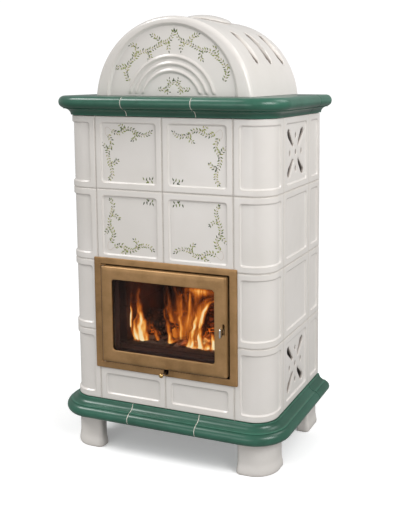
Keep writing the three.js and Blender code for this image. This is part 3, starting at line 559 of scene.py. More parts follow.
def tile_relief(along, up, length, height):
    """A quarter round at the outer edge, then the border, then an S-curve down to the field."""
    edge = eased(inside_by(along, up, length, height, 0, EDGE_ROUND), SOFT)
    share = np.clip(inside_by(along, up, length, height, BORDER, FIELD_ROUND) / SLOPE, 0, 1)
    return edge + RECESS * share**2 * (3 - 2 * share)


def tile_mark(along, up, length, height):
    """Thin glaze: 1 on the outer edge, 0.6 on the lip above the slope, fading within 3 mm."""
    edge = 1 - inside_by(along, up, length, height, 0, EDGE_ROUND) / 3
    lip = 0.6 - np.abs(inside_by(along, up, length, height, BORDER, FIELD_ROUND)) / 3
    return np.clip(np.maximum(edge, lip), 0, 1)


def tile_lines(length, step):
    """Places along one side of a tile: close at the edge and over the slope, wide between."""
    near = np.array([0, 0.25, 0.7, 1.4, 2.4, 6, 11, 15, 16.6, 17.6, 18.5, 19.4, 20.3, 21.2,
                     22.2, 23.2, 26])
    count = max(2, int((length - 2 * near[-1]) / step) + 1)
    middle = np.linspace(near[-1], length - near[-1], count)
    return np.concatenate([near[:-1], middle, length - near[-2::-1]])


def around(a):
    """The border of a grid, once round and back to its start."""
    return np.concatenate([a[0], a[1:, -1], a[-1, -2::-1], a[-2::-1, 0]])


# %% Laying a tile along the wall
def together(x, y, z):
    """Three coordinates, of any matching shapes, as one array of points."""
    return np.stack(np.broadcast_arrays(x, y, z), -1).astype(float)


def flat_wall(x0, z0):
    """The front wall: along runs to the right, inward runs into the stove."""
    return lambda along, inward, up: together(x0 + along, inward, z0 + up)


def side_wall(side, y0, z0):
    """A side wall: along runs to the back."""
    return lambda along, inward, up: together(side * (HALF_WIDTH - inward), y0 + along, z0 + up)


def corner_wall(side, leg, z0):
    """Straight along the front, round the corner's quarter circle, straight along the side."""
    straight, arc = leg - CORNER_RADIUS, CORNER_RADIUS * np.pi / 2

    def place(along, inward, up):
        turn = np.clip((along - straight) / CORNER_RADIUS, 0, np.pi / 2)
        before, after = np.minimum(along - straight, 0), np.maximum(along - straight - arc, 0)
        reach = CORNER_RADIUS - inward
        x = HALF_WIDTH - CORNER_RADIUS + reach * np.sin(turn) + before
        y = CORNER_RADIUS - reach * np.cos(turn) + after
        return together(side * x, y, z0 + up)

    return place


def corner_length(leg, leg_side):
    """The unrolled length of a piece with these two legs."""
    return leg + leg_side - CORNER_RADIUS * (2 - np.pi / 2)


# %% A whole tile
def hollowed(along, up, length, height):
    """The same points drawn in to the hollow behind the face."""
    return (length / 2 + (along - length / 2) * (1 - 2 * RIM_WALL / length),
            height / 2 + (up - height / 2) * (1 - 2 * RIM_WALL / height))


def tile_back(along, up, length, height, place):
    """Down the outer edge to the rim, across it, and back up to the face's rear."""
    near, far = around(along), around(up)
    hollow_near, hollow_far = hollowed(near, far, length, height)
    rows = [(near, SOFT, far), (near, RIM, far), (hollow_near, RIM, hollow_far),
            (hollow_near, PLATE, hollow_far)]
    return np.stack([place(s, inward, z) for s, inward, z in rows])


def tile(name, node, length, height, place, step=9.0):
    """A face with its relief, its rim and its hollow back."""
    along, up = np.meshgrid(tile_lines(length, step), tile_lines(height, 12.0))
    face = place(along, tile_relief(along, up, length, height), up)
    rim = tile_back(along, up, length, height, place)
    s, z = hollowed(along, up, length, height)
    marks = [tile_mark(along, up, length, height), np.zeros(rim.shape[:2]), np.zeros(s.shape)]
    make_piece(name, [face, rim, place(s, PLATE + 0 * s, z)], white_glaze, "white_glaze",
               stands_for=[node], marks=marks)


# %% [markdown]
# ### Pierced tiles
#
# The top and bottom side tiles let warm air through: four petals on the diagonals and five
# small ovals between them. Holes can't be cut into a grid of quads without spoiling it, so
# here rings are laid round each hole and the triangles are worked out from the points.

# %% Holes of a pierced tile
PETAL_TIP, PETAL_END = (33, 5), (86, 11)        # how far out each circle is, and its radius
OVAL_WIDE, OVAL_HIGH, OVAL_OUT = 6, 9, 50       # two half axes, and how far out the ovals are
HOLE_RIM = 3                                    # nearer to a hole, the back lies right behind the face


def petal_outline(middle, degrees):
    """A small circle near the middle, a larger one farther out, and their common tangents."""
    (near, small), (far, large) = PETAL_TIP, PETAL_END
    lean, turn = np.arcsin((large - small) / (far - near)), np.radians(degrees)
    out = np.array([np.cos(turn), np.sin(turn)])
    left = np.array([-out[1], out[0]])

    def ring(g=0.0):
        wide = np.linspace(-np.pi / 2 - lean, np.pi / 2 + lean, 12)
        narrow = np.linspace(np.pi / 2 + lean, 3 * np.pi / 2 - lean, 8)
        angle = np.concatenate([wide, narrow])
        count = [len(wide), len(narrow)]
        radius, centre = np.repeat([large + g, small + g], count), np.repeat([far, near], count)
        onward, aside = centre + radius * np.cos(angle), radius * np.sin(angle)
        return middle + onward[:, None] * out + aside[:, None] * left

    return ring, loop_distance(ring())


def oval_outline(x, z):
    """An upright oval, 12 mm by 18 mm."""
    def ring(g=0.0):
        angle = np.linspace(0, 2 * np.pi, 17)[:-1]
        return np.stack([x + (OVAL_WIDE + g) * np.cos(angle), z + (OVAL_HIGH + g) * np.sin(angle)], -1)

    return ring, loop_distance(ring())


def pierced_tile(name, node, length, height, place):
    """A tile's face with its nine holes, each with the same soft glazed edge as the tile."""
    middle = np.array([length / 2, height / 2])
    holes = [petal_outline(middle, d) for d in (45, 135, 225, 315)]
    holes += [oval_outline(*(middle + OVAL_OUT * np.array(o)))
              for o in ((0, 0), (1, 0), (-1, 0), (0, 1), (0, -1))]
    along, up = np.meshgrid(tile_lines(length, 7.0), tile_lines(height, 7.0))
    edge_points = np.stack([around(along), around(up)], -1)[:-1]
    ring = (lambda g=0.0: edge_points), loop_distance(edge_points)
    filling = np.stack([along.ravel(), up.ravel()], -1)
    steps = [0, 0.25, 0.7, 1.4, SOFT]
    points, triangles, _ = pierced(ring, holes, [0], filling, UNSPLIT, hole_steps=steps, clear=0.1)
    s, z = points.T
    gap = np.min([distance(points) for _, distance in holes], axis=0)
    gap[len(edge_points):] = np.maximum(gap[len(edge_points):], 0)
    depth = tile_relief(s, z, length, height) + eased(gap, SOFT)
    drawn_in = np.stack(hollowed(s, z, length, height), -1)
    behind = np.where((gap < HOLE_RIM)[:, None], points, drawn_in)
    on_edge = np.arange(len(points)) < len(edge_points)
    face, back = place(s, depth, z), place(behind[:, 0], PLATE + 0 * s, behind[:, 1])
    patches = shell(face, back, triangles, leave_open=on_edge)
    patches.append(tile_back(along, up, length, height, place))
    # The face is thin glaze round each hole and the back skin is 2, so the holes' walls darken from glaze to
    # bare clay: partly bare clay, partly painted shade of the holes.
    mark = np.concatenate([tile_mark(s, z, length, height) + np.clip(0.7 - gap / 3, 0, 1), 0 * s + 2])
    make_piece(name, patches, white_glaze, "white_glaze", stands_for=[node],
               marks=[mark, mark, np.zeros(patches[-1].shape[:2])])


# %% [markdown]
# ### Setting the tiles
#
# Row 1 is the top row. The corner tile starts 111.5 mm from the corner's imaginary edge;
# flat tiles follow at 226 mm; half tiles close the sides at the rear. Two shorter tiles fill
# the front under the door. Every tile keeps half a joint clear on each side.

# %% Set the tiles
FRAME_LOW, FRAME_HIGH = 104.0, 450.5
tile_high, tile_wide = ROW - JOINT, PITCH - JOINT
corner_leg = CORNER_LEG - JOINT / 2
for row in range(1, 5):
    low = WALL_TOP - row * ROW + JOINT / 2
    for word, side in (("left", -1), ("right", 1)):
        long_way = corner_length(corner_leg, corner_leg)
        tile(f"glazed_corner_{word}_{row}", f"corner_tile_{word}_{row}", long_way, tile_high,
             corner_wall(side, corner_leg, low), step=5.0)
        beside = side_wall(side, CORNER_LEG + JOINT / 2, low)
        if row in (1, 4):
            pierced_tile(f"glazed_vent_{word}_{row}", f"vent_tile_{word}_{row}", tile_wide,
                         tile_high, beside)
        else:
            tile(f"glazed_side_{word}_{row}", f"side_tile_{word}_{row}", tile_wide, tile_high, beside)
        rear_y = CORNER_LEG + PITCH + JOINT / 2
        tile(f"glazed_rear_{word}_{row}", f"rear_tiles_{word}", DEPTH - rear_y, tile_high,
             side_wall(side, rear_y, low))
        start = JOINT / 2 if side > 0 else -PITCH + JOINT / 2
        if row <= 2:
            tile(f"glazed_front_{word}_{row}", f"front_tile_{word}_{row}", tile_wide, tile_high,
                 flat_wall(start, low))
        if row == 4:
            tile(f"glazed_low_{word}", f"front_half_tile_{word}", tile_wide, FRAME_LOW - JOINT,
                 flat_wall(start, JOINT / 2))

# %% [markdown]
# ### Grout
#
# Grout stands 0.8 mm behind the tiles' faces. A level joint is one strip carried right round
# the stove through every wall; an upright joint is a straight strip. The wall function that
# laid the tiles lays the grout too, so it follows the round corner by itself.

# %% Fill the joints
GROUT_FRONT, GROUT_BACK = 0.8, 12.0             # behind the tiles' faces
GROUT_HALF = JOINT / 2 - 0.02
GROUT_CORNERS = ((-GROUT_HALF, GROUT_FRONT), (GROUT_HALF, GROUT_FRONT), (GROUT_HALF, GROUT_BACK),
                 (-GROUT_HALF, GROUT_BACK))


def strip(name, rows):
    """Four lines of points make a closed bar; its two ends are closed with quads."""
    bar = np.stack([*rows, rows[0]])
    ends = [(bar[:4, k], np.array([[0, 1, 2, 3]])) for k in (0, -1)]
    make_piece(name, [bar, *ends], grout, "white_glaze", crease=30)


def level_joint(name, side, z, from_x):
    """A level joint from the front at from_x, round the corner, to the stove's rear."""
    leg = HALF_WIDTH - from_x
    length = corner_length(leg, DEPTH)
    straight, arc = leg - CORNER_RADIUS, CORNER_RADIUS * np.pi / 2
    along = np.concatenate([[0], straight + np.linspace(0, arc, 25), [length]])
    place = corner_wall(side, leg, z)
    strip(name, [place(along, inward, up) for up, inward in GROUT_CORNERS])


def upright_joint(name, place, low, high):
    """An upright joint of a wall; place lays (along, inward, up)."""
    up = np.array([low, high])
    strip(name, [place(along, inward, up) for along, inward in GROUT_CORNERS])


beside_door = PITCH + 0.4       # the lower level joints start at the front tiles' outer edge
for word, side in (("left", -1), ("right", 1)):
    for row, from_x in ((1, 0.0), (2, beside_door), (3, beside_door)):
        level_joint(f"grout_level_{word}_{row}", side, WALL_TOP - row * ROW, from_x)
    low_top = FRAME_LOW - JOINT / 2
    front_joint = flat_wall(side * PITCH, 0)
    upright_joint(f"grout_front_{word}", front_joint, FRAME_HIGH - 8, WALL_TOP)
    upright_joint(f"grout_front_low_{word}", front_joint, 0.3, low_top)
    upright_joint(f"grout_side_{word}", side_wall(side, CORNER_LEG, 0), 0.3, WALL_TOP)
    upright_joint(f"grout_rear_{word}", side_wall(side, CORNER_LEG + PITCH, 0), 0.3, WALL_TOP)
upright_joint("grout_middle", flat_wall(0, 0), FRAME_HIGH - 8, WALL_TOP)
upright_joint("grout_middle_low", flat_wall(0, 0), 0.3, low_top)
# %% [markdown]
# ## Plinth and cornice
#
# Both are the same moulding, the plinth's turned over: a toe, a hollow cove, a sharp fillet,
# and a round nose that carries the flat shelf. A clay worker draws it with one template.
# Here the template is a line of (out, up) points, carried along the wall function. The
# quirk, the narrow V between fillet and nose, is real geometry, because it holds a shadow.

# %% The template
def arc(centre, radius, start, end, steps):
    """Points on a circle between two angles in degrees."""
    angle = np.radians(np.linspace(start, end, steps))
    return np.stack([centre[0] + radius * np.cos(angle), centre[1] + radius * np.sin(angle)], -1)


MOULD_HIGH, SHELF_LOW, SHELF_DEEP, MOULD_GAP = 57.5, 45.5, 112.0, 0.5
TOE_BACK, SHELF_OUT = 14, 14                    # behind the wall's face, and in front of it
turn = np.radians(np.linspace(3, 90, 14))
cove = np.stack([4 + 23 * (1 - np.cos(turn)), 19.5 * np.sin(turn)], -1)
nose_from, nose_to, nose_count = -80, 90, 30
nose = arc((21.5, 39.05), 18.45, nose_from, nose_to, nose_count)
template = np.concatenate([
    [(-TOE_BACK, SHELF_LOW), (-TOE_BACK, 0), (3.3, 0), (3.8, 0.3)], cove,
    [(27.4, 19.65), (27.5, 20.0), (27.2, 20.35)], nose, [(SHELF_OUT, MOULD_HIGH)]])
ahead = np.gradient(template, axis=0)
template_out = np.stack([ahead[:, 1], -ahead[:, 0]], -1)
template_out /= np.linalg.norm(template_out, axis=1, keepdims=True)
template_out[:3] = template_out[-1] = 0
template_mark = np.concatenate([
    [0, 0, 0.4, 0.7], np.interp(turn, [0, 0.25, 1.25, 1.57], [0.55, 0, 0, 0.75]), [1, 1, 0.6],
    np.interp(np.linspace(nose_from, nose_to, nose_count), [-80, -50, -10, 10, 40, 70, 90],
              [0, 0, 0.3, 0.4, 0.25, 0.5, 0.1]), [0.1]])


def moulding(name, node, length, place, inner, stations=()):
    """The template at each station, its ends eased by 1.2 mm, then top, underside, inner wall
    and both ends. inner is the shelf's inner edge in plan, from the same end."""
    ends = np.array([0, 0.15, 0.45, 0.9, 1.5])
    along = np.concatenate([ends, stations, length - ends[::-1]])
    soft = eased(np.minimum(along, length - along), 1.2)
    offset = template[None] - soft[:, None, None] * template_out[None]
    face = place(along[:, None], -offset[..., 0], offset[..., 1])
    inner = np.array(inner, float)
    levels = [np.column_stack([inner, np.full(len(inner), place(0, 0, up)[2])])
              for up in (SHELF_LOW, MOULD_HIGH)]
    under = flat_cap(np.concatenate([face[:, 0], levels[0][::-1]]))
    top = flat_cap(np.concatenate([face[:, -1], levels[1][::-1]]))
    caps = [flat_cap(np.concatenate([face[end], [levels[1][end], levels[0][end]]])) for end in (0, -1)]
    patches = [face, under, top, np.stack(levels), *caps]
    marks = [np.broadcast_to(template_mark, face.shape[:2])]
    marks += [np.zeros(len(p[0]) if isinstance(p, tuple) else p.shape[:2]) for p in patches[1:]]
    make_piece(name, patches, green_glaze, "green_glaze", stands_for=[node], marks=marks,
               crease=30)


# %% Five pieces below and five above
FRONT_SEAM = 113.0
# Each moulding's name, the height of its toe and its way up.
LEVELS = (("plinth", -MOULD_GAP, -1), ("cornice", WALL_TOP + MOULD_GAP, 1))


def turned_over(wall, way):
    """The wall function with up counted from the moulding's toe."""
    return lambda along, inward, up: wall(along, inward, way * up)


for level, z0, way in LEVELS:
    half = FRONT_SEAM - JOINT / 2
    moulding(f"glazed_{level}_front", f"{level}_front", 2 * half,
             turned_over(flat_wall(-half, z0), way), [(-half, SHELF_DEEP), (half, SHELF_DEEP)])
    rear_y = CORNER_LEG + PITCH
    for word, side in (("left", -1), ("right", 1)):
        leg, leg_side = HALF_WIDTH - FRONT_SEAM - JOINT / 2, rear_y - JOINT / 2
        bend = leg - CORNER_RADIUS + np.linspace(0, CORNER_RADIUS * np.pi / 2, 29)
        inside_x = side * (HALF_WIDTH - SHELF_DEEP)
        moulding(f"glazed_{level}_corner_{word}", f"{level}_corner_{word}",
                 corner_length(leg, leg_side), turned_over(corner_wall(side, leg, z0), way),
                 [(side * (HALF_WIDTH - leg), SHELF_DEEP), (inside_x, SHELF_DEEP),
                  (inside_x, leg_side)], bend)
        start = rear_y + JOINT / 2
        moulding(f"glazed_{level}_rear_{word}", f"{level}_rear_{word}", DEPTH - start,
                 turned_over(side_wall(side, start, z0), way),
                 [(inside_x, start), (inside_x, DEPTH)])

# %% [markdown]
# The seams of the front pieces are pointed with pale grout, which shows as a fine white line
# on the green. It follows the template, 0.7 mm inside the glaze. The side seams stay dark: a
# black filling lies 2.2 mm inside them. Each filling is a bar of one section, laid by the wall.

# %% Pointing of the green seams
SEAM_HALF = JOINT / 2 - 0.02


def sunk_section(sunk, step, shelf_end):
    """The template moved in by sunk, its hidden corners drawn in by step, then round the shelf."""
    line = template - sunk * template_out
    low, top, rear = SHELF_LOW + step, MOULD_HIGH + 0.5 - step, step + 1 - SHELF_DEEP
    line[0], line[1], line[-1] = (step - TOE_BACK, low), (step - TOE_BACK, step - 0.5), (shelf_end, top)
    return np.concatenate([line, [(rear, top), (rear, low)]])


def fill_seam(name, place, section, material, slot):
    """A bar of that section, a little narrower than the seam."""
    out, up = section.T
    sides = [place(along, -out, up) for along in (-SEAM_HALF, SEAM_HALF)]
    loop = np.stack([np.concatenate([s, s[:1]]) for s in sides])
    make_piece(name, [loop, flat_cap(sides[0]), flat_cap(sides[1])], material, slot, crease=30)


pointed, dark = sunk_section(0.7, 1, 13.5), sunk_section(2.2, 2, 12)
for level, z0, way in LEVELS:
    for word, side in (("left", -1), ("right", 1)):
        fill_seam(f"pointing_{level}_{word}", turned_over(flat_wall(side * FRONT_SEAM, z0), way),
                  pointed, pale_grout, "white_glaze")
    for word, side in (("left", -1), ("right", 1)):
        fill_seam(f"seam_{level}_{word}", turned_over(side_wall(side, CORNER_LEG + PITCH, z0), way),
                  dark, stove_paint, "black_steel")

# %% [markdown]
# ## Feet
#
# Each foot is an upright corner of white glazed clay. It runs straight down from the plinth and
# spreads into a soft rounded toe at the floor, as wet clay does when it is wiped with a
# sponge. The plan is an L with round corners, and each level is that L, a little larger or
# smaller: growth is the flare, less the toe's quarter round and the soft edge at the top.

# %% Feet
FOOT_TOP, FOOT_HIGH = -58.5, 103.0
plans = {
    "front": outline([(230.5, 0), (337.5, 0), (337.5, 107), (304.5, 107), (304.5, 33), (230.5, 33)],
                     [14, CORNER_RADIUS, 14, 3, 8, 3], 10)[0],
    "rear": outline([(304.5, 335), (337.5, 335), (337.5, 430), (230.5, 430), (230.5, 397), (304.5, 397)],
                    [3, 10, 14, 8, 3, 8], 10)[0],
}
down = np.array([0, 0.4, 1.2, 2, 30, 60, 68, 74, 79, 84, 88, 91.5, 94.5, 97, 98.6, 100, 101.3, 102.4,
                 FOOT_HIGH])
spread = np.clip((down - 66) / 28, 0, 1)
toe = np.clip((down - 97.5) / 5.5, 0, 1)
growth = 4 * spread**2 * (3 - 2 * spread) - 2.4 * (1 - np.sqrt(1 - toe**2)) - eased(down, 2.0)
for place_word, ring in plans.items():
    for word, side in (("left", -1), ("right", 1)):
        levels = np.stack([np.column_stack([*ring(g).T, np.full(len(ring(g)), FOOT_TOP - d)])
                           for g, d in zip(growth, down)]) * (side, 1, 1)
        wall = np.concatenate([levels, levels[:, :1]], 1)
        shade = np.repeat(np.where((down < 2.5) | (down > 96), 0.45, 0.0)[:, None], wall.shape[1], 1)
        make_piece(f"glazed_foot_{place_word}_{word}", [wall, flat_cap(levels[0]), flat_cap(levels[-1])],
                   white_glaze, "white_glaze", stands_for=[f"foot_{place_word}_{word}"],
                   marks=[shade, np.zeros(len(levels[0])), np.zeros(len(levels[0]))])
# %% [markdown]
# ## Crown
#
# The crown is a hollow half barrel. Its front has a round outer edge, a raised frame, a
# field 7 mm deep and three soft beads, like ripples. It could be turned on a wheel, and so
# the formula is in rings: each ring of the grid is a circle cut off at the base line, and
# the rings crowd together where the form turns.

# %% Front of the crown
CROWN_FRONT, CROWN_RADIUS, CROWN_CENTRE, CROWN_BASE = 57.0, 261.0, 912.0, 938.5
FIELD_RADIUS, FIELD_CENTRE, FIELD_DEEP, CROWN_ROUND = 217.0, 936.0, 7.0, 16.0
lift = CROWN_BASE - CROWN_CENTRE
beads = np.array([143.0, 122.0, 101.0])
near_beads = (beads[:, None] + np.linspace(-9, 9, 13)).ravel()
still = np.sort(np.concatenate([[lift, 40, 60, 78, 88], near_beads, [160, 175]]))
near_field = np.array([-22, -15, -11, -9.5, -8, -6.5, -5, -3.5, -2, -1, 0, 1, 2.5])
curl = np.radians(np.linspace(0, 90, 11))
outer_rows = CROWN_RADIUS - CROWN_ROUND * (1 - np.sin(curl))
fixed = np.concatenate([still, np.zeros(len(near_field)), outer_rows])[:, None]
offset = np.concatenate([np.zeros(len(still)), near_field, np.zeros(len(curl))])[:, None]
follows = np.zeros_like(fixed)
follows[len(still):len(still) + len(near_field)] = 1


def ring_radius(angle):
    """A row's radius: fixed, or a distance from the field's own, slightly higher circle."""
    high = FIELD_CENTRE - CROWN_CENTRE
    field = high * np.sin(angle) + np.sqrt(FIELD_RADIUS**2 - (high * np.cos(angle)) ** 2)
    return fixed + follows * (field + offset)


# Where each row meets the base line: angle and radius settle each other in a few rounds.
lowest = np.full_like(fixed, 0.12)
for _ in range(12):
    lowest = np.arcsin(lift / np.maximum(ring_radius(lowest), lift))
share = np.concatenate([[0, 0.003, 0.008, 0.014, 0.021, 0.03, 0.042], np.linspace(0.056, 0.5, 44)])
share = np.concatenate([share, 1 - share[-2::-1]])
angle = lowest + (np.pi - 2 * lowest) * share
radius = ring_radius(angle)
x, z = radius * np.cos(angle), CROWN_CENTRE + radius * np.sin(angle)
z[:, 0] = z[:, -1] = CROWN_BASE
in_field = np.clip((FIELD_RADIUS - np.hypot(x, z - FIELD_CENTRE)) / 10, 0, 1)
to_bead = np.abs(radius[..., None] - beads).min(-1)
fade = np.clip((z - CROWN_BASE - 3) / 9, 0, 1)
bead_high = 4.4 * np.cos(np.pi / 2 * np.clip(to_bead / 8.5, 0, 1)) ** 2 * fade**2 * (3 - 2 * fade)
y = CROWN_FRONT + FIELD_DEEP * in_field**2 * (3 - 2 * in_field) - bead_high
y[len(y) - len(curl):] += CROWN_ROUND * (1 - np.cos(curl))[:, None]
crown_face = np.stack([x, y, z], -1)
lip = np.clip(1 - np.abs(np.hypot(x, z - FIELD_CENTRE) - FIELD_RADIUS) / 3, 0, 1)
face_mark = np.clip(0.6 * lip + 0.07 * bead_high, 0, 1)

# %% [markdown]
# ### The barrel, its slots and the flue hole
#
# The barrel is worked out unrolled: one coordinate is the way round from the top, the other
# runs to the back. Six slots and the flue hole under the lid are holes in that sheet, and
# their edges fall in by a quarter round.

# %% Barrel
CROWN_WALL, LID_Y, HOLE_RADIUS = 12.0, 295.0, 62.0
SLOT_EDGE, HOLE_EDGE = 3.6, 2.0                 # radius of the soft edges
PLUMB = 30                                      # nearer to the flue hole, the wall is plumb
start_y = CROWN_FRONT + CROWN_ROUND


def slot_outline(middle_round, middle_y, half=66.0, wide=11.0):
    """A long hole round the barrel with half-round ends."""
    def ring(g=0.0):
        bow = np.radians(np.linspace(-90, 90, 13))
        end = np.stack([half - wide + (wide + g) * np.cos(bow), (wide + g) * np.sin(bow)], -1)
        return np.concatenate([end, -end]) + (middle_round, middle_y)

    return ring, loop_distance(ring())


def unrolled(x):
    """The way round the barrel from its top to a point above x."""
    return CROWN_RADIUS * np.arcsin(x / CROWN_RADIUS)


def lid_ring(radius):
    """A circle about the lid's axis, seen from above, on the unrolled barrel."""
    angle = np.linspace(0, 2 * np.pi, 73)[:-1]
    return np.stack([unrolled(radius * np.cos(angle)), LID_Y + radius * np.sin(angle)], -1)


side_round = CROWN_RADIUS * (np.pi / 2 - lowest[-1, 0])
front_edge = np.stack([CROWN_RADIUS * (np.pi / 2 - angle[-1]), np.full(angle.shape[1], start_y)], -1)
front_edge = front_edge[::-1]
side_y = np.linspace(start_y, DEPTH, 40)[1:]
rear_round = np.linspace(side_round, -side_round, 90)
edge = np.concatenate([front_edge, np.stack([np.full(39, side_round), side_y], -1),
                       np.stack([rear_round[1:], np.full(89, DEPTH)], -1),
                       np.stack([np.full(38, -side_round), side_y[-2::-1]], -1)])
slots = [slot_outline(side * CROWN_RADIUS * np.radians(47.5), slot_y)
         for side in (-1, 1) for slot_y in (176.0, 284.0, 392.0)]
lid_hole = (lambda g=0.0: lid_ring(HOLE_RADIUS + g)), loop_distance(lid_ring(HOLE_RADIUS))
grid = lattice(-side_round, side_round, start_y, DEPTH, 7.5)
points, triangles, _ = pierced(
    ((lambda g=0.0: edge), loop_distance(edge)), [*slots, lid_hole], [0],
    grid, UNSPLIT, hole_steps=[0, 0.4, 1.1, 2.2, SLOT_EDGE], clear=3.0)
way_round, y = points.T
to_slot = np.maximum(np.min([distance(points) for _, distance in slots], axis=0), 0)
to_hole = np.maximum(lid_hole[1](points), 0)
x = CROWN_RADIUS * np.sin(way_round / CROWN_RADIUS)
z = CROWN_CENTRE + CROWN_RADIUS * np.cos(way_round / CROWN_RADIUS)
fall = eased(to_slot, SLOT_EDGE) / CROWN_RADIUS
outside = np.stack([x - fall * x, y, z - fall * (z - CROWN_CENTRE)], -1)
outside[:, 2] -= eased(to_hole, HOLE_EDGE)
inner_radius = CROWN_RADIUS - CROWN_WALL
inner_angle = way_round / side_round * (np.pi / 2 - np.arcsin(lift / inner_radius))
inner_y = np.where(y < start_y + 0.01, start_y + 3, y)
within = np.stack([inner_radius * np.sin(inner_angle), inner_y,
                   CROWN_CENTRE + inner_radius * np.cos(inner_angle)], -1)
at_lid = to_hole < PLUMB
within[at_lid, 0] = x[at_lid]
within[at_lid, 2] = CROWN_CENTRE + np.sqrt(inner_radius**2 - x[at_lid] ** 2)
on_edge = np.arange(len(points)) < len(edge)
at_base = on_edge & (np.abs(np.abs(way_round) - side_round) < 0.01)
outside[at_base, 2] = within[at_base, 2] = CROWN_BASE
at_front = y < start_y + 0.01
barrel = shell(outside, within, triangles, leave_open=at_front)
inner_front = within[:len(front_edge)]
underside = np.concatenate([crown_face[::-1, 0][:-1], crown_face[:, -1], inner_front[[0, -1]]])
# Thin glaze round each slot, rising past 1 at its rim, so the slot's rim and walls turn to bare clay, which
# there is also painted shade of the slot.
mark = np.clip(0.8 - to_slot / 3, 0, 1) + np.clip(0.7 - to_slot, 0, 1)
patches = [crown_face, *barrel, flat_cap(inner_front), flat_cap(underside)]
both_marks = np.concatenate([mark, 0 * mark + 2])
marks = [face_mark, both_marks, both_marks, np.full(len(inner_front), 2.0), np.zeros(len(underside))]
make_piece("glazed_crown", patches, white_glaze, "white_glaze", stands_for=["crown"], marks=marks)

# %% [markdown]
# ### Lid
#
# The lid is a round cap that lies on the barrel like a saddle: its rim goes down with the
# curve on both sides, so only a soft edge shows. Its height above the barrel depends on the
# distance from its own axis alone, and a short straight ring below drops into the hole.

# %% Lid
cap = np.array([(0, 0.5), (52, 0.5), (52, -8), (52.6, -8.6), (55.4, -8.6), (56, -8), (56, 0.5),
                (82, 0.5), (82.9, 0.8), (83.6, 1.4), (84, 2.3), (83.9, 3.2), (83.4, 4.2),
                (82.4, 5.3), (80.8, 6.4), (78, 7.7), (73, 9.3), (66, 10.9), (56, 12.6),
                (44, 14.2), (30, 15.6), (15, 16.5), (0, 16.8)])
lid = turned(cap, 96)
barrel_top = CROWN_CENTRE + np.sqrt(CROWN_RADIUS**2 - lid[..., 0] ** 2)
lid = together(lid[..., 0], lid[..., 1] + LID_Y, lid[..., 2] + barrel_top)
lid_mark = np.broadcast_to(np.clip(0.6 - np.abs(cap[:, 1] - 2.5) / 4, 0, 1), lid.shape[:2])
make_piece("glazed_lid", [lid], white_glaze, "white_glaze", body="lid", stands_for=["flue_cap"],
           marks=[lid_mark])
# %% [markdown]
# ## Fire door
#
# The door is pressed from 4 mm sheet. A press can't make a sharp edge, so the door's outer
# edge rolls back with a 7 mm radius and the window's edge with 1.6 mm. The same rule makes
# the frame, the glass and the lever: an outline with holes, its edges falling in. A depth is
# counted from the front tile face: less than nothing stands proud of it.

# %% Pressed sheet
def circle_outline(x, z, radius, count=32):
    """A round hole or disc."""
    turn = np.linspace(0, 2 * np.pi, count + 1)[:-1, None]

    def ring(g=0.0):
        return np.array([x, z]) + (radius + g) * np.concatenate([np.cos(turn), np.sin(turn)], 1)

    return ring, loop_distance(ring())


def facing_front(y0):
    """Lay a sheet upright, its face towards the front at y0."""
    return lambda x, z, depth: together(x, y0 + depth, z)


def pressed(name, outer, holes, thickness, place, edge, material, slot, spacing=12.0, both=True,
            **more):
    """A sheet with holes. Its edges fall in by a quarter round, on one face or on both."""
    steps = [0, edge * 0.06, edge * 0.25, edge * 0.6, edge]
    low, high = outer[0]().min(0), outer[0]().max(0)
    filling = lattice(low[0], high[0], low[1], high[1], spacing)
    points, triangles, gap = pierced(outer, holes, steps, filling, spacing)
    fall = eased(gap, edge)
    front, back = place(*points.T, fall), place(*points.T, thickness - both * fall)
    make_piece(name, shell(front, back, triangles), material, slot, **more)


def block(name, x, y, z, edge, material, slot, **more):
    """A box between two places on each axis, with eased upright edges and faces."""
    pressed(name, box_outline(*x, *z, edge, 3), [], y[1] - y[0], facing_front(y[0]), edge,
            material, slot, spacing=25.0, **more)


# %% Frame round the door
FRAME_HALF, FRAME_PROUD, FRAME_FOLD, FRAME_ROLL = 238, 4.3, 17.0, 1.8
sheet = box_outline(-FRAME_HALF, FRAME_HALF, FRAME_LOW, FRAME_HIGH, 4)
opening = outline([(-213, 125.5), (-1, 125.5), (-1, 111), (12, 111), (12, 125.5), (213, 125.5),
                   (213, 430), (-213, 430)], [2, 1.5, 5, 5, 1.5, 2, 2, 2])
rolled = [0, 0.1, 0.4, 0.9, FRAME_ROLL]
points, triangles, gap = pierced(
    sheet, [opening], rolled, lattice(-FRAME_HALF, FRAME_HALF, 104, 450, 9), 9,
    hole_steps=[*rolled, 3.0, 3.3])
x, z = points.T
front = together(x, -FRAME_PROUD + eased(gap, FRAME_ROLL), z)
to_door = np.maximum(opening[1](points), 0)
back = together(x, np.where(to_door < 3.1, FRAME_FOLD, -0.3), z)
# Painted shade: the mark is 1 on the lip round the opening, a dark band that stands for the shadow in the
# gap round the door.
mark = np.tile(np.clip(1.9 - to_door / 1.2, 0, 1), 2)
make_piece("pressed_frame", shell(front, back, triangles), bronze, "bronze",
           stands_for=["door_frame"], marks=[mark, mark])
for word, low in (("low", 125.7), ("high", 427.8)):
    pressed(f"hinge_lug_{word}", box_outline(-214.5, -196, -15, 6, 4), [circle_outline(-202, -9, 3.8)],
            2.0, lambda x, y, depth, low=low: together(x, y, low + depth), 0.3, bronze, "bronze")

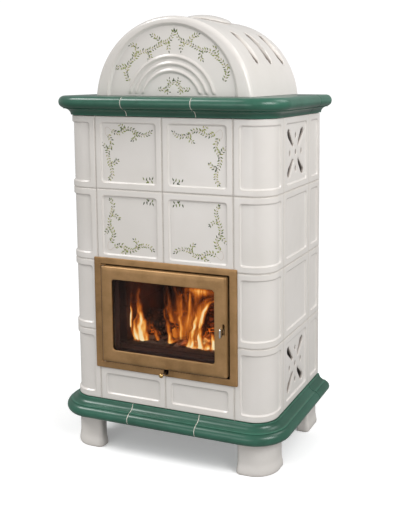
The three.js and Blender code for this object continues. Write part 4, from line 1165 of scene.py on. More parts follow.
# %% Door
DOOR_PROUD, DOOR_FOLD, DOOR_ROLL, WINDOW_ROLL = 16, 12.0, 7.0, 1.6
door_sheet = box_outline(-209, 209, 128, 427, 5)
window = box_outline(-171, 171, 167.5, 388, 9, 8)
latch_slot = box_outline(197.1, 202.9, 258, 290, 2)
points, triangles, _ = pierced(
    door_sheet, [window, latch_slot], [0, 0.25, 1.0, 2.2, 3.9, 4.2, 5.4, DOOR_ROLL],
    lattice(-209, 209, 128, 427, 9), 9, hole_steps=[0, 0.1, 0.4, 0.9, WINDOW_ROLL])
x, z = points.T
from_edge = np.maximum(-door_sheet[1](points), 0)
from_hole = np.maximum(np.minimum(window[1](points), latch_slot[1](points)), 0)
front = together(x, -DOOR_PROUD + eased(from_edge, DOOR_ROLL) + eased(from_hole, WINDOW_ROLL), z)
back = together(x, np.where(from_edge < 4.05, DOOR_FOLD, -12.0), z)
make_piece("pressed_door", shell(front, back, triangles), bronze, "bronze", body="door",
           stands_for=["door_panel"])
block("hinge_cover", (-204.8, -194), (9, 12), (132.5, 422.5), 0.5, bronze, "bronze", body="door")
for word, x0, x1 in (("inner", 191, 197.1), ("outer", 202.9, 204.9)):
    pressed(f"latch_cheek_{word}", box_outline(-11.8, 12, 250, 298, 2), [circle_outline(4, 268, 3.4)],
            x1 - x0, lambda y, z, depth, x0=x0: together(x0 + depth, y, z), 0.4, bronze, "bronze",
            body="door")

# %% [markdown]
# ### Glass, its frame and the rope seal
#
# The pane is a flat sheet of clear glass-ceramic. A black pressed frame holds it from
# inside; its window widens towards the fire, so the fire isn't cut off from the side. A
# braided glass rope behind that frame seals the door; braiding is a slow twist of its
# strands both ways, so its radius is a product of two opposed screws.

# %% Glass and its frame
pressed("door_pane", box_outline(-181, 181, 157.5, 398, 4), [], 4.0, facing_front(-11.7), 0.5,
        pane_glass, "ceramic_glass", spacing=40.0, body="door", stands_for=["door_glass"])
holder = box_outline(-188, 188, 134, 421, 4)
points, triangles, gap = pierced(holder, [window], [0, 0.3, 1.0], lattice(-188, 188, 134, 421, 12), 12,
                                 hole_steps=[0, 0.1, 0.4, 1.0, 8.5])
# Behind, the window's edge moves straight away from a rectangle 9 mm inside the window.
nearest = np.clip(points, (-162, 176.5), (162, 379))
away = points - nearest
away /= np.maximum(np.linalg.norm(away, axis=1, keepdims=True), 1e-6)
FLARE, FLARE_FROM = 6, 8.5                      # how far the edge moves, and how wide a border does
widen = FLARE * np.clip(1 - window[1](points) / FLARE_FROM, 0, 1)
wide = points + away * widen[:, None]
make_piece("glass_holder",
           shell(together(points[:, 0], -7.4 + eased(gap, 1.0), points[:, 1]),
                 together(wide[:, 0], 8.0 + 0 * widen, wide[:, 1]), triangles),
           stove_paint, "black_steel", body="door", stands_for=["glass_frame"])

path = close_set(box_outline(-182, 182, 142, 413, 8, 6)[0](), 1.8)
TWISTS, ROPE_RADIUS, STRAND = 140, 4.35, 0.5
length = np.linspace(0, 2 * np.pi * TWISTS, len(path), endpoint=False)[:, None]
around_rope = np.linspace(0, 2 * np.pi, 17)[None]
braid = ROPE_RADIUS + STRAND * np.sin(3 * around_rope + length) * np.sin(3 * around_rope - length)
rope_path = together(path[:, 0], 13.4, path[:, 1])
make_piece("rope_seal", [tube(rope_path, braid, 16, closed=True)], rope, "seal_rope", body="door",
           stands_for=["door_seal"], crease=180)

# %% [markdown]
# ### Latch and air control
#
# The latch is a chromed lever, cut from 5 mm plate, that turns on a pin. The air control is
# a steel rod with a turned brass ball and a chromed collar; it stands out through a notch.

# %% Latch
lever = outline([(16, 263), (16, 273), (4, 275), (-17, 276), (-37, 284), (-41.4, 281), (-42.9, 257),
                 (-38, 256.6), (-17, 262), (4, 261)], [2, 2, 8, 22, 4, 3, 3, 3, 20, 8], 6)
pressed("latch_lever_plate", lever, [], 5.0, lambda y, z, depth: together(197.5 + depth, y, z), 1.3,
        chrome, "polished_steel", spacing=4.0, body="latch", stands_for=["latch_lever"])
pin = turned([(0, 0), (2.6, 0), (3.0, 0.4), (3.0, 11.2), (2.6, 11.6), (0, 11.6)], 24)
make_piece("latch_pin", [pin[..., [2, 0, 1]] + (193.8, 4, 268)], chrome, "polished_steel", body="latch")

# %% Air control
ROD_X, ROD_Z, BALL_Y = 5.5, 117.5, -34.0


def along_y(profile, x, z, segments=32):
    """A turned form whose axis runs to the back."""
    return turned(profile, segments)[..., [0, 2, 1]] + (x, 0, z)


ball = arc((0, BALL_Y), 7.0, -90, 62, 22)
ball[0, 0] = 0
make_piece("air_ball", [along_y([*ball, (0, ball[-1, 1])], ROD_X, ROD_Z)], brass, "brass",
           body="air_control", stands_for=["air_knob"])
collar = [(0, -28.6), (4.0, -28.6), (4.4, -28.1), (4.4, -26.9), (3.9, -26.4), (3.9, -25.9),
          (4.3, -25.4), (4.3, -24.8), (3.9, -24.4), (0, -24.4)]
make_piece("air_collar", [along_y(collar, ROD_X, ROD_Z)], chrome, "polished_steel", body="air_control")
rod = [(0, -26), (3, -26), (3, 63.4), (2.4, 64), (0, 64)]
make_piece("air_rod", [along_y(rod, ROD_X, ROD_Z)], chrome, "polished_steel", body="air_control",
           stands_for=["air_slide"])
block("air_plate", (ROD_X - 34, ROD_X + 34), (56, 124), (117, 121.5), 0.6, chrome, "polished_steel",
      body="air_control")
# %% [markdown]
# ## Inside and behind
#
# Through the glass one sees firebricks, a cast grate and the fire. Behind, a stove is plain:
# a zinc-coated sheet closes the tile coat, and the flue spigot sticks out of it. The packed
# model's own folded plates stay, and only get their paint.

# %% Bricks, grate and hearth sill
HEARTH, COURSE, BRICK_HIGH, BRICK_THICK = 172, 109.5, 109, 30
courses = [(number + 1, HEARTH + number * COURSE) for number in range(3)]
for word, side in (("left", -1), ("right", 1)):
    for number, low in courses:
        pressed(f"side_brick_{word}_{number}", box_outline(66, 380, low, low + BRICK_HIGH, 3, 3), [],
                BRICK_THICK, lambda y, z, depth, side=side: together(side * (170 + depth), y, z), 2.0,
                fireclay, "firebrick", spacing=20.0, stands_for=[f"firebrick_{word}"])
for number, low in courses:
    block(f"back_brick_{number}", (-169, 169), (350, 380), (low, low + BRICK_HIGH), 2.0, fireclay,
          "firebrick", stands_for=["firebrick_back"])
SLOT_PITCH, SLOT_HALF = 26, 6
grate_slots = [box_outline(SLOT_PITCH * i - SLOT_HALF, SLOT_PITCH * i + SLOT_HALF, 140, 290, 5, 4)
               for i in range(-4, 5)]
pressed("cast_grate", box_outline(-200, 200, 62, 379, 3), grate_slots, 13,
        lambda x, y, depth: together(x, y, 171 - depth), 1.5, cast_iron, "cast_iron", spacing=14.0,
        stands_for=["hearth_grate"])
block("hearth_sill", (-200, 200), (23.3, 61.5), (158, 166), 1.2, cast_iron, "cast_iron",
      stands_for=["log_retainer"])
block("sill_lip", (-160, 160), (44, 52), (165, 172), 1.2, cast_iron, "cast_iron")

# %% Rear sheet and flue spigot
REAR_Y, REAR_THICK, FLUE_Z = 446.9, 1.5, 745.0
arch = arc((0, CROWN_CENTRE), 257.0, 5.35, 174.65, 60)
rear_loop = np.concatenate([[(-329.5, 2), (329.5, 2), (329.5, 936)], arch, [(-329.5, 936)]])
rear_ring = (lambda g=0.0: rear_loop * (1 + g / 330) - (0, g * 1.3)), loop_distance(rear_loop)
pressed("rear_sheet", rear_ring, [circle_outline(0, FLUE_Z, 78, 64)], REAR_THICK,
        lambda x, z, depth: together(x, REAR_Y + REAR_THICK - depth, z), 0.2, zinc, "galvanised",
        spacing=30.0, stands_for=["rear_panel"])
wall = outline([(72.5, 385.4), (85, 385.4), (85, 389.2), (75, 389.2), (75, 491), (72.5, 491)],
               [0.4, 1, 1, 1, 0.9, 0.9], 3)[0]()
make_piece("spigot", [along_y(np.concatenate([wall, wall[:1]]), 0, FLUE_Z, 72)], stove_paint,
           "black_steel", stands_for=["flue_spigot"])
screw = np.array([(0, 0), (4.4, 0), (4.4, 0.8), (3.8, 1.7), (2.2, 2.2), (0, 2.3)])
screw[:, 1] += REAR_Y + 1.4
screws_at = [(s * 318, z) for s in (-1, 1) for z in (20, 230, 440, 650, 860)]
screws_at += [(-236, 985), (236, 985), (0, 1152)]
for number, (x, z) in enumerate(screws_at):
    make_piece(f"rear_screw_{number + 1}", [along_y(screw, x, z, 20)], zinc, "galvanised")

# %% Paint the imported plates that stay
kept_finishes = {"firebox_body": sooty_steel, "base_frame": stove_paint, "ash_pan": zinc,
                 "baffle_plate": sooty_steel, "hinge_rod": chrome}
for name, finish in kept_finishes.items():
    for holder_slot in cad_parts[name].material_slots:
        holder_slot.material = finish

# %% [markdown]
# ## The fire
#
# The photograph catches a lively fire at the right and a dying one at the left. Burning gas
# has no surface, but its glow has a shape. So three thin curtains stand in the firebox, one
# behind the other, and each point of a curtain has a heat that bent tongues add up to, hottest
# along their middle and at the root. The finish turns the heat into colour and cover: clear
# where it is cold, then red-brown, orange and a yellow that is nearly white.

# %% Flame and ember finishes
flame = bpy.data.materials.new("burning_wood_gas")
flame.use_nodes = True
flame.node_tree.nodes.remove(flame.node_tree.nodes["Principled BSDF"])
heat = add_node(flame, "Attribute", attribute_name="mark")
where = add_node(flame, "TexCoord").outputs["Object"]
licking = add_node(flame, "Mapping", {"Vector": where, "Scale": (60, 30, 14)})
streaks = add_node(flame, "TexNoise", {"Vector": licking.outputs[0], "Scale": 1.0, "Detail": 3.0,
                                       "Roughness": 0.5, "Distortion": 0.8})
lively = add_node(flame, "MapRange", {"Value": streaks.outputs["Fac"], "From Min": 0.3,
                                      "From Max": 0.7, "To Min": 0.55, "To Max": 1.3})
glow = add_node(flame, "Math", {0: heat.outputs["Fac"], 1: lively.outputs[0]}, operation="MULTIPLY")
shade = add_node(flame, "ValToRGB", {"Fac": glow.outputs[0]},
                 stops=[(0.0, "#2a0d06"), (0.16, "#5c2a12"), (0.34, "#a6521b"), (0.56, "#e2842d"),
                        (0.78, "#ffc76c"), (1.0, "#fff1c4")])
veil = add_node(flame, "ValToRGB", {"Fac": glow.outputs[0]},
                stops=[(0.02, 0.0), (0.2, 0.3), (0.45, 0.62), (0.75, 0.95)])
shine = add_node(flame, "Emission", {"Color": shade.outputs[0], "Strength": 1.1})
nothing = add_node(flame, "BsdfTransparent")
burning_gas = add_node(flame, "MixShader", {0: veil.outputs[0], 1: nothing.outputs[0],
                                            2: shine.outputs[0]})
flame.node_tree.links.new(burning_gas.outputs[0], flame.node_tree.nodes["Material Output"].inputs[0])

charcoal = new_finish("charred_wood", Roughness=0.9)
where = add_node(charcoal, "TexCoord").outputs["Object"]
cells = add_node(charcoal, "TexVoronoi", {"Vector": where, "Scale": 75.0}, feature="DISTANCE_TO_EDGE")
black = add_node(charcoal, "ValToRGB", {"Fac": cells.outputs["Distance"]},
                 stops=[(0.03, "#0a0706"), (0.2, "#463028"), (0.5, "#6e4f42")])
regions = add_node(charcoal, "TexNoise", {"Vector": where, "Scale": 16.0, "Detail": 2.0})
hot = add_node(charcoal, "ValToRGB", {"Fac": regions.outputs["Fac"]}, stops=[(0.55, 0.0), (0.7, 1.0)])
crack = add_node(charcoal, "ValToRGB", {"Fac": cells.outputs["Distance"]}, stops=[(0.0, 1.0), (0.07, 0.0)])
alight = add_node(charcoal, "Math", {0: hot.outputs[0], 1: crack.outputs[0]}, operation="MULTIPLY")
power = add_node(charcoal, "Math", {0: alight.outputs[0], 1: 2.2}, operation="MULTIPLY")
relief = add_node(charcoal, "Bump", {"Strength": 0.9, "Distance": 0.003,
                                     "Height": cells.outputs["Distance"]})
charcoal.node_tree.nodes["Principled BSDF"].inputs["Emission Color"].default_value = colour("#ff7a22")
feed(charcoal, Base_Color=black.outputs[0], Emission_Strength=power.outputs[0], Normal=relief.outputs[0])

embers = new_finish("glowing_embers", Roughness=0.95)
where = add_node(embers, "TexCoord").outputs["Object"]
cells = add_node(embers, "TexVoronoi", {"Vector": where, "Scale": 60.0})
ash = add_node(embers, "ValToRGB", {"Fac": cells.outputs["Color"]},
               stops=[(0.2, "#2a2422"), (0.8, "#7d7168")])
near = add_node(embers, "Attribute", attribute_name="mark")
spots = add_node(embers, "TexNoise", {"Vector": where, "Scale": 42.0, "Detail": 3.0})
burning = add_node(embers, "Math", {0: near.outputs["Fac"], 1: spots.outputs["Fac"]},
                   operation="MULTIPLY")
strength = add_node(embers, "ValToRGB", {"Fac": burning.outputs[0]}, stops=[(0.22, 0.0), (0.5, 1.0)])
tint = add_node(embers, "ValToRGB", {"Fac": burning.outputs[0]},
                stops=[(0.25, "#b8380c"), (0.42, "#ff9433"), (0.6, "#ffd98a")])
feed(embers, Base_Color=ash.outputs[0], Emission_Color=tint.outputs[0],
     Emission_Strength=strength.outputs[0])

# %% Ember bed and logs
BED_HALF, BED_FRONT, BED_BACK = 160, 72, 330
rng = np.random.default_rng(7)
x, y = np.meshgrid(np.linspace(-BED_HALF, BED_HALF, 110), np.linspace(BED_FRONT, BED_BACK, 90))
waves = sum(np.sin(x * a + b) * np.cos(y * c + d) for a, b, c, d in rng.uniform(0.04, 0.32, (9, 4)))
to_border = np.minimum(BED_HALF - np.abs(x), np.minimum(y - BED_FRONT, BED_BACK - y))
border_fall = np.clip(to_border / 18, 0, 1)
top = HEARTH + (9 + 1.6 * waves) * border_fall
top[border_fall > 0] = np.maximum(top[border_fall > 0], HEARTH + 0.5)


def rim_between(one, other):
    """A wall between the borders of two grids of points."""
    return np.stack([np.stack([around(side[..., k]) for k in range(3)], -1) for side in (one, other)])


bed, base = together(x, y, top), together(x, y, HEARTH - 0.4)
warmth = np.clip(1.15 - np.hypot((x - 70) / 90, (y - 100) / 110), 0.1, 1)
warmth = np.maximum(warmth, np.clip(1 - np.hypot((x + 135) / 50, (y - 100) / 70), 0, 1))
skirt = rim_between(bed, base)
make_piece("ember_bed", [bed, skirt, base], embers, "cast_iron",
           marks=[warmth, np.zeros(skirt.shape[:2]), np.zeros(base.shape[:2])], crease=60)


def log(name, start, end, radius, seed):
    """A charred log: a tube whose radius wavers, broken across its ends."""
    chance = np.random.default_rng(seed)
    share = np.concatenate([[0, 0, 0.004], np.linspace(0.02, 0.98, 60), [0.996, 1, 1]])[:, None]
    path = np.array(start) + (np.array(end) - start) * share
    angle = np.linspace(0, 2 * np.pi, 41)[None]
    waver = sum(a * np.sin(k * angle + b + 9 * share * c)
                for k, (a, b, c) in enumerate(chance.uniform((0, 0, -1), (0.05, 6, 1), (7, 3)), 1))
    ridges = 0.05 * np.round(np.sin(angle * 5 + 2) * np.sin(share * 26 + seed)) * np.clip(share * 50, 0, 1)
    size = radius * (1 + waver + ridges)
    size[[0, -1]] = 0
    size[[1, -2]] *= 0.9
    step = np.linspace(0, 1e-3, len(path))[:, None] * (np.array(end) - start)
    make_piece(name, [tube(path + step, size, 40)], charcoal, "cast_iron", crease=35)


log("log_left", (-134, 150, 212), (56, 165, 214), 42.0, 3)
log("log_right", (30, 210, 212), (158, 190, 216), 34.0, 5)
log("log_top", (-70, 235, 262), (130, 225, 268), 26.0, 8)


# %% Curtains of flame
CURTAIN_LEFT, CURTAIN_RIGHT, CURTAIN_TOP = -166, 160, 350


def burn(x, z, tongues):
    """The heat at points of an upright sheet. Each tongue is a quadratic bow through root, bend
    and tip; its heat falls with the square of the distance from the bow, measured in the
    tongue's own half width, which swells at a third of its height and ends at the tip."""
    t = np.linspace(0, 1, 40)
    sway = 3.5 * np.sin(z / 17 + x / 40) + 1.8 * np.sin(z / 7.3 + x / 13) + np.sin(z / 3.9 - x / 9)
    cold = np.ones_like(x)
    for root, bend, tip, wide, warm in tongues:
        bow = [(1 - t) ** 2 * root[k] + 2 * t * (1 - t) * bend[k] + t**2 * tip[k] for k in (0, 1)]
        half = wide / 2 * (0.35 + 0.65 * np.sin(np.pi * np.clip(t, 0, 1) ** 0.6)) + 0.8
        lift = np.clip((z - root[1]) / 60, 0, 1)
        gap = (x + sway * lift)[..., None] - bow[0], z[..., None] - bow[1]
        share = (gap[0] ** 2 + gap[1] ** 2) / half**2
        warmth_here = warm * (1 - 0.75 * t**1.7) * np.exp(-1.1 * share)
        cold *= 1 - np.clip(warmth_here.max(-1), 0, 0.97)
    return 1.15 * (1 - cold)


def curtain(name, y, tongues, step=2.2, bulge=7.0):
    """A thin closed sheet across the firebox that leans forward where it is hot."""
    x, z = np.meshgrid(np.arange(CURTAIN_LEFT, CURTAIN_RIGHT + 1, step),
                       np.arange(HEARTH + 0.6, CURTAIN_TOP + 2, step))
    to_side = np.minimum(x - CURTAIN_LEFT, CURTAIN_RIGHT - x)
    edge_fall = np.clip(to_side / 3, 0, 1) * np.clip((CURTAIN_TOP - z) / 9, 0, 1)
    heat = burn(x, z, tongues) * edge_fall
    level = y - bulge * heat + 4 * np.sin(x / 31) * np.sin(z / 47)
    front, back = together(x, level, z), together(x, level + 0.4, z)
    rim = rim_between(front, back)
    make_piece(name, [front, back, rim], flame, "cast_iron",
               marks=[heat, heat, np.zeros(rim.shape[:2])], crease=180)


# Root, bend and tip in X and Z, then width and heat.
curtain("fire_front", 84, [
    ((-163, 215), (-164, 270), (-162, 332), 8, 1.1), ((-146, 172), (-160, 200), (-162, 235), 9, 0.6),
    ((-122, 166), (-127, 235), (-138, 334), 28, 0.75), ((-118, 166), (-126, 205), (-130, 262), 19, 1.0),
    ((-138, 176), (-156, 208), (-146, 256), 12, 0.9), ((-106, 166), (-110, 200), (-116, 240), 15, 0.6),
    ((-66, 166), (-70, 190), (-88, 218), 14, 0.5), ((-98, 205), (-104, 235), (-97, 256), 6, 0.35),
    ((-24, 160), (-42, 222), (-48, 356), 9, 0.55), ((-18, 160), (-34, 195), (-34, 300), 18, 0.4),
    ((-52, 166), (-10, 186), (30, 204), 13, 0.45), ((20, 164), (70, 168), (126, 176), 24, 1.15),
    ((48, 166), (66, 230), (58, 288), 9, 1.05), ((34, 166), (48, 205), (62, 246), 13, 0.95),
    ((82, 166), (76, 205), (81, 256), 15, 1.3), ((78, 240), (86, 300), (136, 336), 12, 1.0),
    ((60, 236), (84, 334), (138, 342), 26, 0.5), ((124, 166), (124, 196), (115, 222), 15, 1.2),
    ((104, 166), (104, 180), (100, 196), 16, 1.0), ((146, 170), (152, 240), (150, 320), 14, 0.7)])
curtain("fire_middle", 118, [
    ((-28, 160), (-42, 240), (-60, 366), 24, 0.46), ((0, 160), (-10, 250), (-26, 370), 44, 0.4),
    ((36, 160), (22, 250), (8, 370), 44, 0.46), ((62, 160), (46, 260), (56, 366), 40, 0.48),
    ((20, 352), (72, 332), (130, 350), 40, 0.6), ((-10, 170), (2, 240), (-10, 345), 9, 0.45),
    ((26, 330), (30, 270), (16, 220), 8, 0.45), ((-96, 170), (-92, 230), (-104, 330), 40, 0.14),
    ((140, 166), (150, 250), (120, 340), 34, 0.3)])
curtain("fire_back", 330, [
    ((-40, 172), (-30, 260), (-50, 352), 90, 0.2), ((50, 172), (40, 260), (60, 380), 120, 0.4),
    ((-130, 172), (-120, 230), (-135, 300), 60, 0.12)], step=4.0)
# %% [markdown]
# ## Painted garlands
#
# Country stoves often wear sprigs of leaves, painted by hand before the last firing. A stem
# in thin beige carries pairs of olive leaves; a dark bud closes each end. Every leaf is a
# short pull of a full brush, so each is its own thin raised drop of colour, 0.3 mm proud,
# and no two are quite alike: one seeded table of numbers varies length, lean and tone.

# %% Painted finish
paint = new_finish("underglaze_leaf_paint", Roughness=0.34, Coat_Weight=0.1, Coat_Roughness=0.05)
tone_mark = add_node(paint, "Attribute", attribute_name="mark")
where = add_node(paint, "TexCoord").outputs["Object"]
mottle = add_node(paint, "TexNoise", {"Vector": where, "Scale": 260.0, "Detail": 2.0})
spread = add_node(paint, "MapRange", {"Value": mottle.outputs["Fac"], "To Min": -0.07, "To Max": 0.07})
varied = add_node(paint, "Math", {0: tone_mark.outputs["Fac"], 1: spread.outputs[0]}, operation="ADD")
leaf_tone = add_node(paint, "ValToRGB", {"Fac": varied.outputs[0]},
                     stops=[(0.0, "#2a361c"), (0.2, "#4b5b26"), (0.45, "#737f30"), (0.7, "#959a45"),
                            (0.86, "#a8947a"), (1.0, "#b09484")])
feed(paint, Base_Color=leaf_tone.outputs[0])


# %% Stems, leaves and buds as one thin skin
PAINT_HIGH, PAINT_ROOT = 0.32, 0.25             # a drop's height, and how far it reaches into the glaze
STEM_TONE = 0.95


def smooth_path(stations, step=1.5):
    """A soft line through stations: each stretch is a Hermite cubic with slopes from its
    neighbours, sampled at even steps."""
    p = np.array(stations, float)
    slope = np.gradient(p, axis=0)
    share = np.linspace(0, 1, 24, endpoint=False)[:, None]
    a, b, u, v = p[:-1, None], p[1:, None], slope[:-1, None], slope[1:, None]
    t = share[None]
    line = (a * (2 * t**3 - 3 * t**2 + 1) + b * (3 * t**2 - 2 * t**3)
            + u * (t**3 - 2 * t**2 + t) + v * (t**3 - t**2)).reshape(-1, 2)
    line = np.concatenate([line, p[-1:]])
    run = np.concatenate([[0], np.cumsum(np.hypot(*np.diff(line, axis=0).T))])
    even = np.linspace(0, run[-1], max(2, int(run[-1] / step)))
    return np.stack([np.interp(even, run, line[:, k]) for k in (0, 1)], -1)


LEAF_T = np.linspace(0, 1, 7)[:, None]
LEAF_S = np.array([[-1, -0.4, 0.4, 1]])
LEAF_WIDE = np.sin(np.pi * LEAF_T**0.8) * (1 - 0.25 * LEAF_T)


def brushed(shapes, lay):
    """Leaf-shaped drops of paint, all at once. Each row of shapes is x, z, direction, length,
    width and tone; lay puts (x, z, proud) on the wall. Returns the points, quads and marks."""
    x, z, turn, long, wide, tone = np.array(shapes).T[:, :, None, None]
    along = LEAF_T * long
    across = LEAF_S * LEAF_WIDE * wide / 2 + 0.10 * along**2 / np.maximum(long, 1) * np.sign(np.sin(x * 7))
    proud = PAINT_HIGH * (1 - LEAF_S**2) * np.sin(np.pi * LEAF_T) + 0 * long
    px = x + along * np.cos(turn) - across * np.sin(turn)
    pz = z + along * np.sin(turn) + across * np.cos(turn)
    skins = [lay(px, pz, proud), lay(px, pz, 0 * proud - PAINT_ROOT)]
    count, rows, columns = px.shape
    number = np.arange(2 * count * rows * columns).reshape(2, count, rows, columns)
    quads = [np.stack([n[:, :-1, :-1], n[:, :-1, 1:], n[:, 1:, 1:], n[:, 1:, :-1]], -1).reshape(-1, 4)
             for n in number]
    edge = np.concatenate([number[:, :, :, 0], number[:, :, ::-1, -1], number[:, :, :1, 0]], -1)
    quads.append(np.stack([edge[0, :, :-1], edge[0, :, 1:], edge[1, :, 1:], edge[1, :, :-1]],
                          -1).reshape(-1, 4))
    points = np.stack(skins).reshape(-1, 3)
    marks = np.broadcast_to(tone, (2, *px.shape)).ravel()
    return points, np.concatenate(quads), marks


def stem(path, lay, wide):
    """A thin stroke along a path: a lens-shaped bar with pointed ends."""
    way = np.gradient(path, axis=0)
    way /= np.linalg.norm(way, axis=1, keepdims=True)
    side = np.stack([-way[:, 1], way[:, 0]], -1)
    number = np.arange(len(path))
    thin = wide / 2 * np.sqrt(np.clip(np.minimum(number, number[::-1]) / 3, 0.1, 1))
    ring = [(-1, -PAINT_ROOT), (-0.5, 0.14), (0, 0.2), (0.5, 0.14), (1, -PAINT_ROOT), (-1, -PAINT_ROOT)]
    return np.stack([lay(*(path + side * (thin * s)[:, None]).T, up + 0 * thin) for s, up in ring])


def sprig(path, rng, gap, long):
    """Leaves in pairs along a path, leaning forward, with a dark bud at its tip."""
    run = np.concatenate([[0], np.cumsum(np.hypot(*np.diff(path, axis=0).T))])
    place = np.arange(gap / 2, run[-1] - 1.5, gap)
    place = np.repeat(place, 2) + rng.uniform(-1.3, 1.3, 2 * len(place))
    x, z = (np.interp(place, run, path[:, k]) for k in (0, 1))
    way = np.gradient(path, axis=0)
    turn = np.interp(place, run, np.unwrap(np.arctan2(way[:, 1], way[:, 0])))
    side = np.tile([1.0, -1.0], len(place) // 2)
    lean = side * rng.uniform(0.6, 1.0, len(place))
    size = rng.uniform(0.75, 1.1, len(place)) * (1 - 0.2 * place / run[-1])
    tone = rng.choice([0.12, 0.25, 0.4, 0.5, 0.6, 0.75], len(place))
    x, z = x + 1.5 * np.cos(turn + side * 1.4), z + 1.5 * np.sin(turn + side * 1.4)
    leaves = np.stack([x, z, turn + lean, long * size, 0.46 * long * size, tone], -1)
    bud = [*path[-1], np.arctan2(*way[-1, ::-1]), 0.75 * long, 0.42 * long, 0.04]
    return np.concatenate([leaves, [bud]])


def garland(name, stems, lay, seed, tips=(), gap=8.2, long=10.4):
    """Stems, given as (stations, width, whether leafy), and single buds, given as
    (x, z, degrees), in one piece."""
    chance = np.random.default_rng(seed)
    shapes, patches, marks = [], [], []
    for stations, wide, leafy in stems:
        path = smooth_path(stations)
        stroke = stem(path, lay, wide)
        patches += [stroke] + [(stroke[:-1, end], np.array([[0, 1, 2, 3, 4]])) for end in (0, -1)]
        marks += [np.full(stroke.shape[:2], STEM_TONE), np.full(5, STEM_TONE), np.full(5, STEM_TONE)]
        if leafy:
            shapes.append(sprig(path, chance, gap, long))
    for x, z, degrees in tips:
        shapes.append(np.array([[x, z, np.radians(degrees), 1.1 * long, 4.6,
                                 chance.choice([0.04, 0.1, 0.35])]]))
    points, quads, tones = brushed(np.concatenate(shapes), lay)
    make_piece(name, [*patches, (points, quads)], paint, "green_glaze",
               marks=[*marks, tones], crease=60)


# %% [markdown]
# ### On the tiles
#
# Each tile has one garland round its outer corner, with two wavy arms that throw off short
# twigs, a thin loose loop in the corner, and a sprig of buds in the corner towards the
# middle. Four tiles mirror each other about the centre of the wall, each with its own leaves.

# %% Tile garlands
def on_tile(side, up_side, row):
    """The tile's field: across from the stove's middle, rise from the middle of the row."""
    middle = WALL_TOP - (row - 0.5) * ROW

    def lay(across, rise, proud):
        return together(side * across, RECESS - proud, middle + up_side * rise)

    return lay


arm_across = [(172, 68), (157, 61), (142, 60), (128, 68), (114, 73), (100, 70), (88, 62), (73, 56),
              (56, 55), (43, 61), (36, 67)]
arm_down = [(184, 55), (176, 44), (171, 30), (175, 16), (183, 3), (185, -10), (181, -25), (175, -41),
            (171, -55), (172, -68), (180, -78)]
twigs = [
    [(127, 68), (131, 77), (139, 83), (148, 87)], [(93, 66), (88, 54), (91, 45), (100, 39)],
    [(183, 5), (191, 14), (196, 21), (202, 28)], [(179, -32), (168, -33), (159, -28), (152, -22)],
]
corner_loop = [(169, 66), (178, 73), (186, 77), (192, 71), (192, 60), (189, 52), (181, 52)]
buds = [(62, -78, 60), (55, -80, 95), (56, -86, 150), (46, -86, 50), (42, -78, 80), (36, -76, 110),
        (34, -86, 70)]
for number, (side, up_side, row) in enumerate([(-1, 1, 1), (1, 1, 1), (-1, -1, 2), (1, -1, 2)]):
    stems = [(arm_across, 1.2, True), (arm_down, 1.2, True), *[(t, 1.0, True) for t in twigs],
             (corner_loop, 1.0, False)]
    garland(f"tile_garland_{number + 1}", stems, on_tile(side, up_side, row), 11 + number, buds)


# %% [markdown]
# ### On the crown
#
# One long garland follows the beads as a low arch with its peak in the middle, with twigs
# out towards the frame and in towards the beads, and a small one lies inside the beads.

# %% Crown garlands
def on_crown(x, z, proud):
    """The crown's field is flat here; the paint lies on it."""
    return together(x, CROWN_FRONT + FIELD_DEEP - proud, z)


def mirrored(stations, middle):
    """The same line on the other side of an upright through middle."""
    return [(2 * middle - x, z) for x, z in stations]


half_arch = [(-141, 980), (-149, 994), (-153, 1009), (-145, 1026), (-136, 1040), (-122, 1050),
             (-109, 1062), (-94, 1070), (-77, 1072), (-61, 1077), (-45, 1085), (-30, 1093),
             (-16, 1098), (-4, 1103), (5, 1113), (12, 1126)]
twigs = [
    [(-148, 1025), (-161, 1026), (-174, 1022), (-187, 1023)],
    [(-125, 1051), (-120, 1066), (-114, 1079), (-121, 1090), (-137, 1088)],
    [(-77, 1072), (-70, 1061), (-68, 1052), (-75, 1043)],
    [(-33, 1091), (-38, 1103), (-49, 1112), (-63, 1117)],
    [(-15, 1098), (-8, 1086), (-6, 1071)],
]
stems = [(line, wide, True) for points, wide in [(half_arch, 1.2), *[(t, 1.0) for t in twigs]]
         for line in (points, mirrored(points, 14))]
garland("crown_garland", stems, on_crown, 31, [(13, 1127, 90), (9, 1124, 120), (18, 1124, 60)])
low_arch = [(-46, 955), (-34, 959), (-22, 957), (-12, 963), (-3, 972), (8, 982)]
low_twigs = [[(-22, 957), (-15, 951), (-7, 950)], [(-3, 972), (-8, 981), (-6, 989)]]
stems = [(line, 1.0, True) for points in [low_arch, *low_twigs] for line in (points, mirrored(points, 9))]
garland("crown_sprig", stems, on_crown, 41, [(9, 983, 90)], long=8.6, gap=7.0)
# %% [markdown]
# ## Stage and light
#
# The photograph is a catalogue picture: white paper below and behind, a soft shadow to the
# right, and a gloss on the lower and left slopes of every field. A sun seen through silk, high
# at the left, throws the shadow. A wide light at the right gives the gloss, a weak one fills
# the front, a small one behind lifts the crown's edge, and a warm point glows in the fire.
# To the camera the paper is brightened to pure white, but it keeps the shadow it receives. To
# the light that bounces off it the paper is grey, or it would wash the stove out from below.

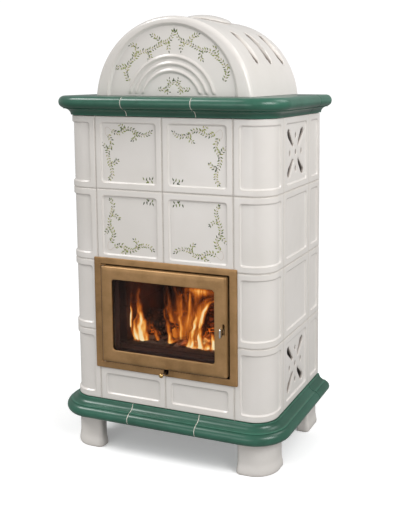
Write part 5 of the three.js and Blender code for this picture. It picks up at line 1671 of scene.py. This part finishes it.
# %% Floor and sky
paper = new_finish("white_studio_paper", Roughness=1.0, Specular_IOR_Level=0.0)
where = add_node(paper, "TexCoord").outputs["Object"]
fibre = add_node(paper, "TexNoise", {"Vector": where, "Scale": 90.0, "Detail": 3.0})
tone = add_node(paper, "ValToRGB", {"Fac": fibre.outputs["Fac"]},
                stops=[(0.3, "#fbfbfb"), (0.7, "#ffffff")])
seen = add_node(paper, "LightPath").outputs["Is Camera Ray"]
shown = add_node(paper, "Mix", {0: seen, 6: colour("#9c9c9c"), 7: tone.outputs[0]}, data_type="RGBA")
lit = add_node(paper, "Math", {0: seen, 1: 0.235}, operation="MULTIPLY")
feed(paper, Base_Color=shown.outputs[2], Emission_Strength=lit.outputs[0])
paper.node_tree.nodes["Principled BSDF"].inputs["Emission Color"].default_value = (1, 1, 1, 1)

FLOOR_HALF = 12000
across, along = np.meshgrid(*[np.linspace(-FLOOR_HALF, FLOOR_HALF, 60)] * 2)
make_piece("studio_floor", [together(across, along, -161.6)], paper, "white_glaze", stage=True)

world = bpy.data.worlds.new("studio_sky")
bpy.context.scene.world = world
world.use_nodes = True
# The sky lights the stove softly, and to the camera it is bright enough to be white.
sky = world.node_tree.nodes["Background"]
seen = add_node(world, "LightPath").outputs["Is Camera Ray"]
strength = add_node(world, "Math", {0: seen, 1: 0.6, 2: 0.45}, operation="MULTIPLY_ADD")
world.node_tree.links.new(strength.outputs[0], sky.inputs["Strength"])
sky.inputs["Color"].default_value = (1, 1, 1, 1)


# %% Lamps
def lamp(name, kind, power, place, target, **settings):
    """A lamp that points from its place to its target, both in metres."""
    light = bpy.data.lights.new(name, kind)
    light.energy = power
    for key, value in settings.items():
        setattr(light, key, value)
    holder = bpy.data.objects.new(name, light)
    holder.location = place
    holder.rotation_euler = (Vector(target) - Vector(place)).to_track_quat("-Z", "Y").to_euler()
    bpy.context.scene.collection.objects.link(holder)
    return holder


lamp("sun_through_silk", "SUN", 1.4, (-2.3, -1.1, 3.2), (0, 0, 0.3), angle=np.radians(18))
lamp("gloss_light", "AREA", 68.0, (2.7, -1.3, 2.3), (0, 0, 0.75), shape="RECTANGLE", size=1.8, size_y=1.4)
lamp("front_light", "AREA", 24.0, (-0.6, -3.6, 0.9), (0, 0, 0.9), shape="RECTANGLE", size=2.4, size_y=1.6)
lamp("rim_light", "AREA", 16.0, (1.6, 0.9, 2.6), (0.1, 0, 1.2), shape="RECTANGLE", size=1.2, size_y=1.2)
glow = lamp("fire_glow", "POINT", 0.9, (0.05, -0.1, 0.42), (0, 0, 0), color=colour("#ff8c46")[:3],
            shadow_soft_size=0.05)
glow.visible_camera = glow.visible_transmission = glow.visible_glossy = False
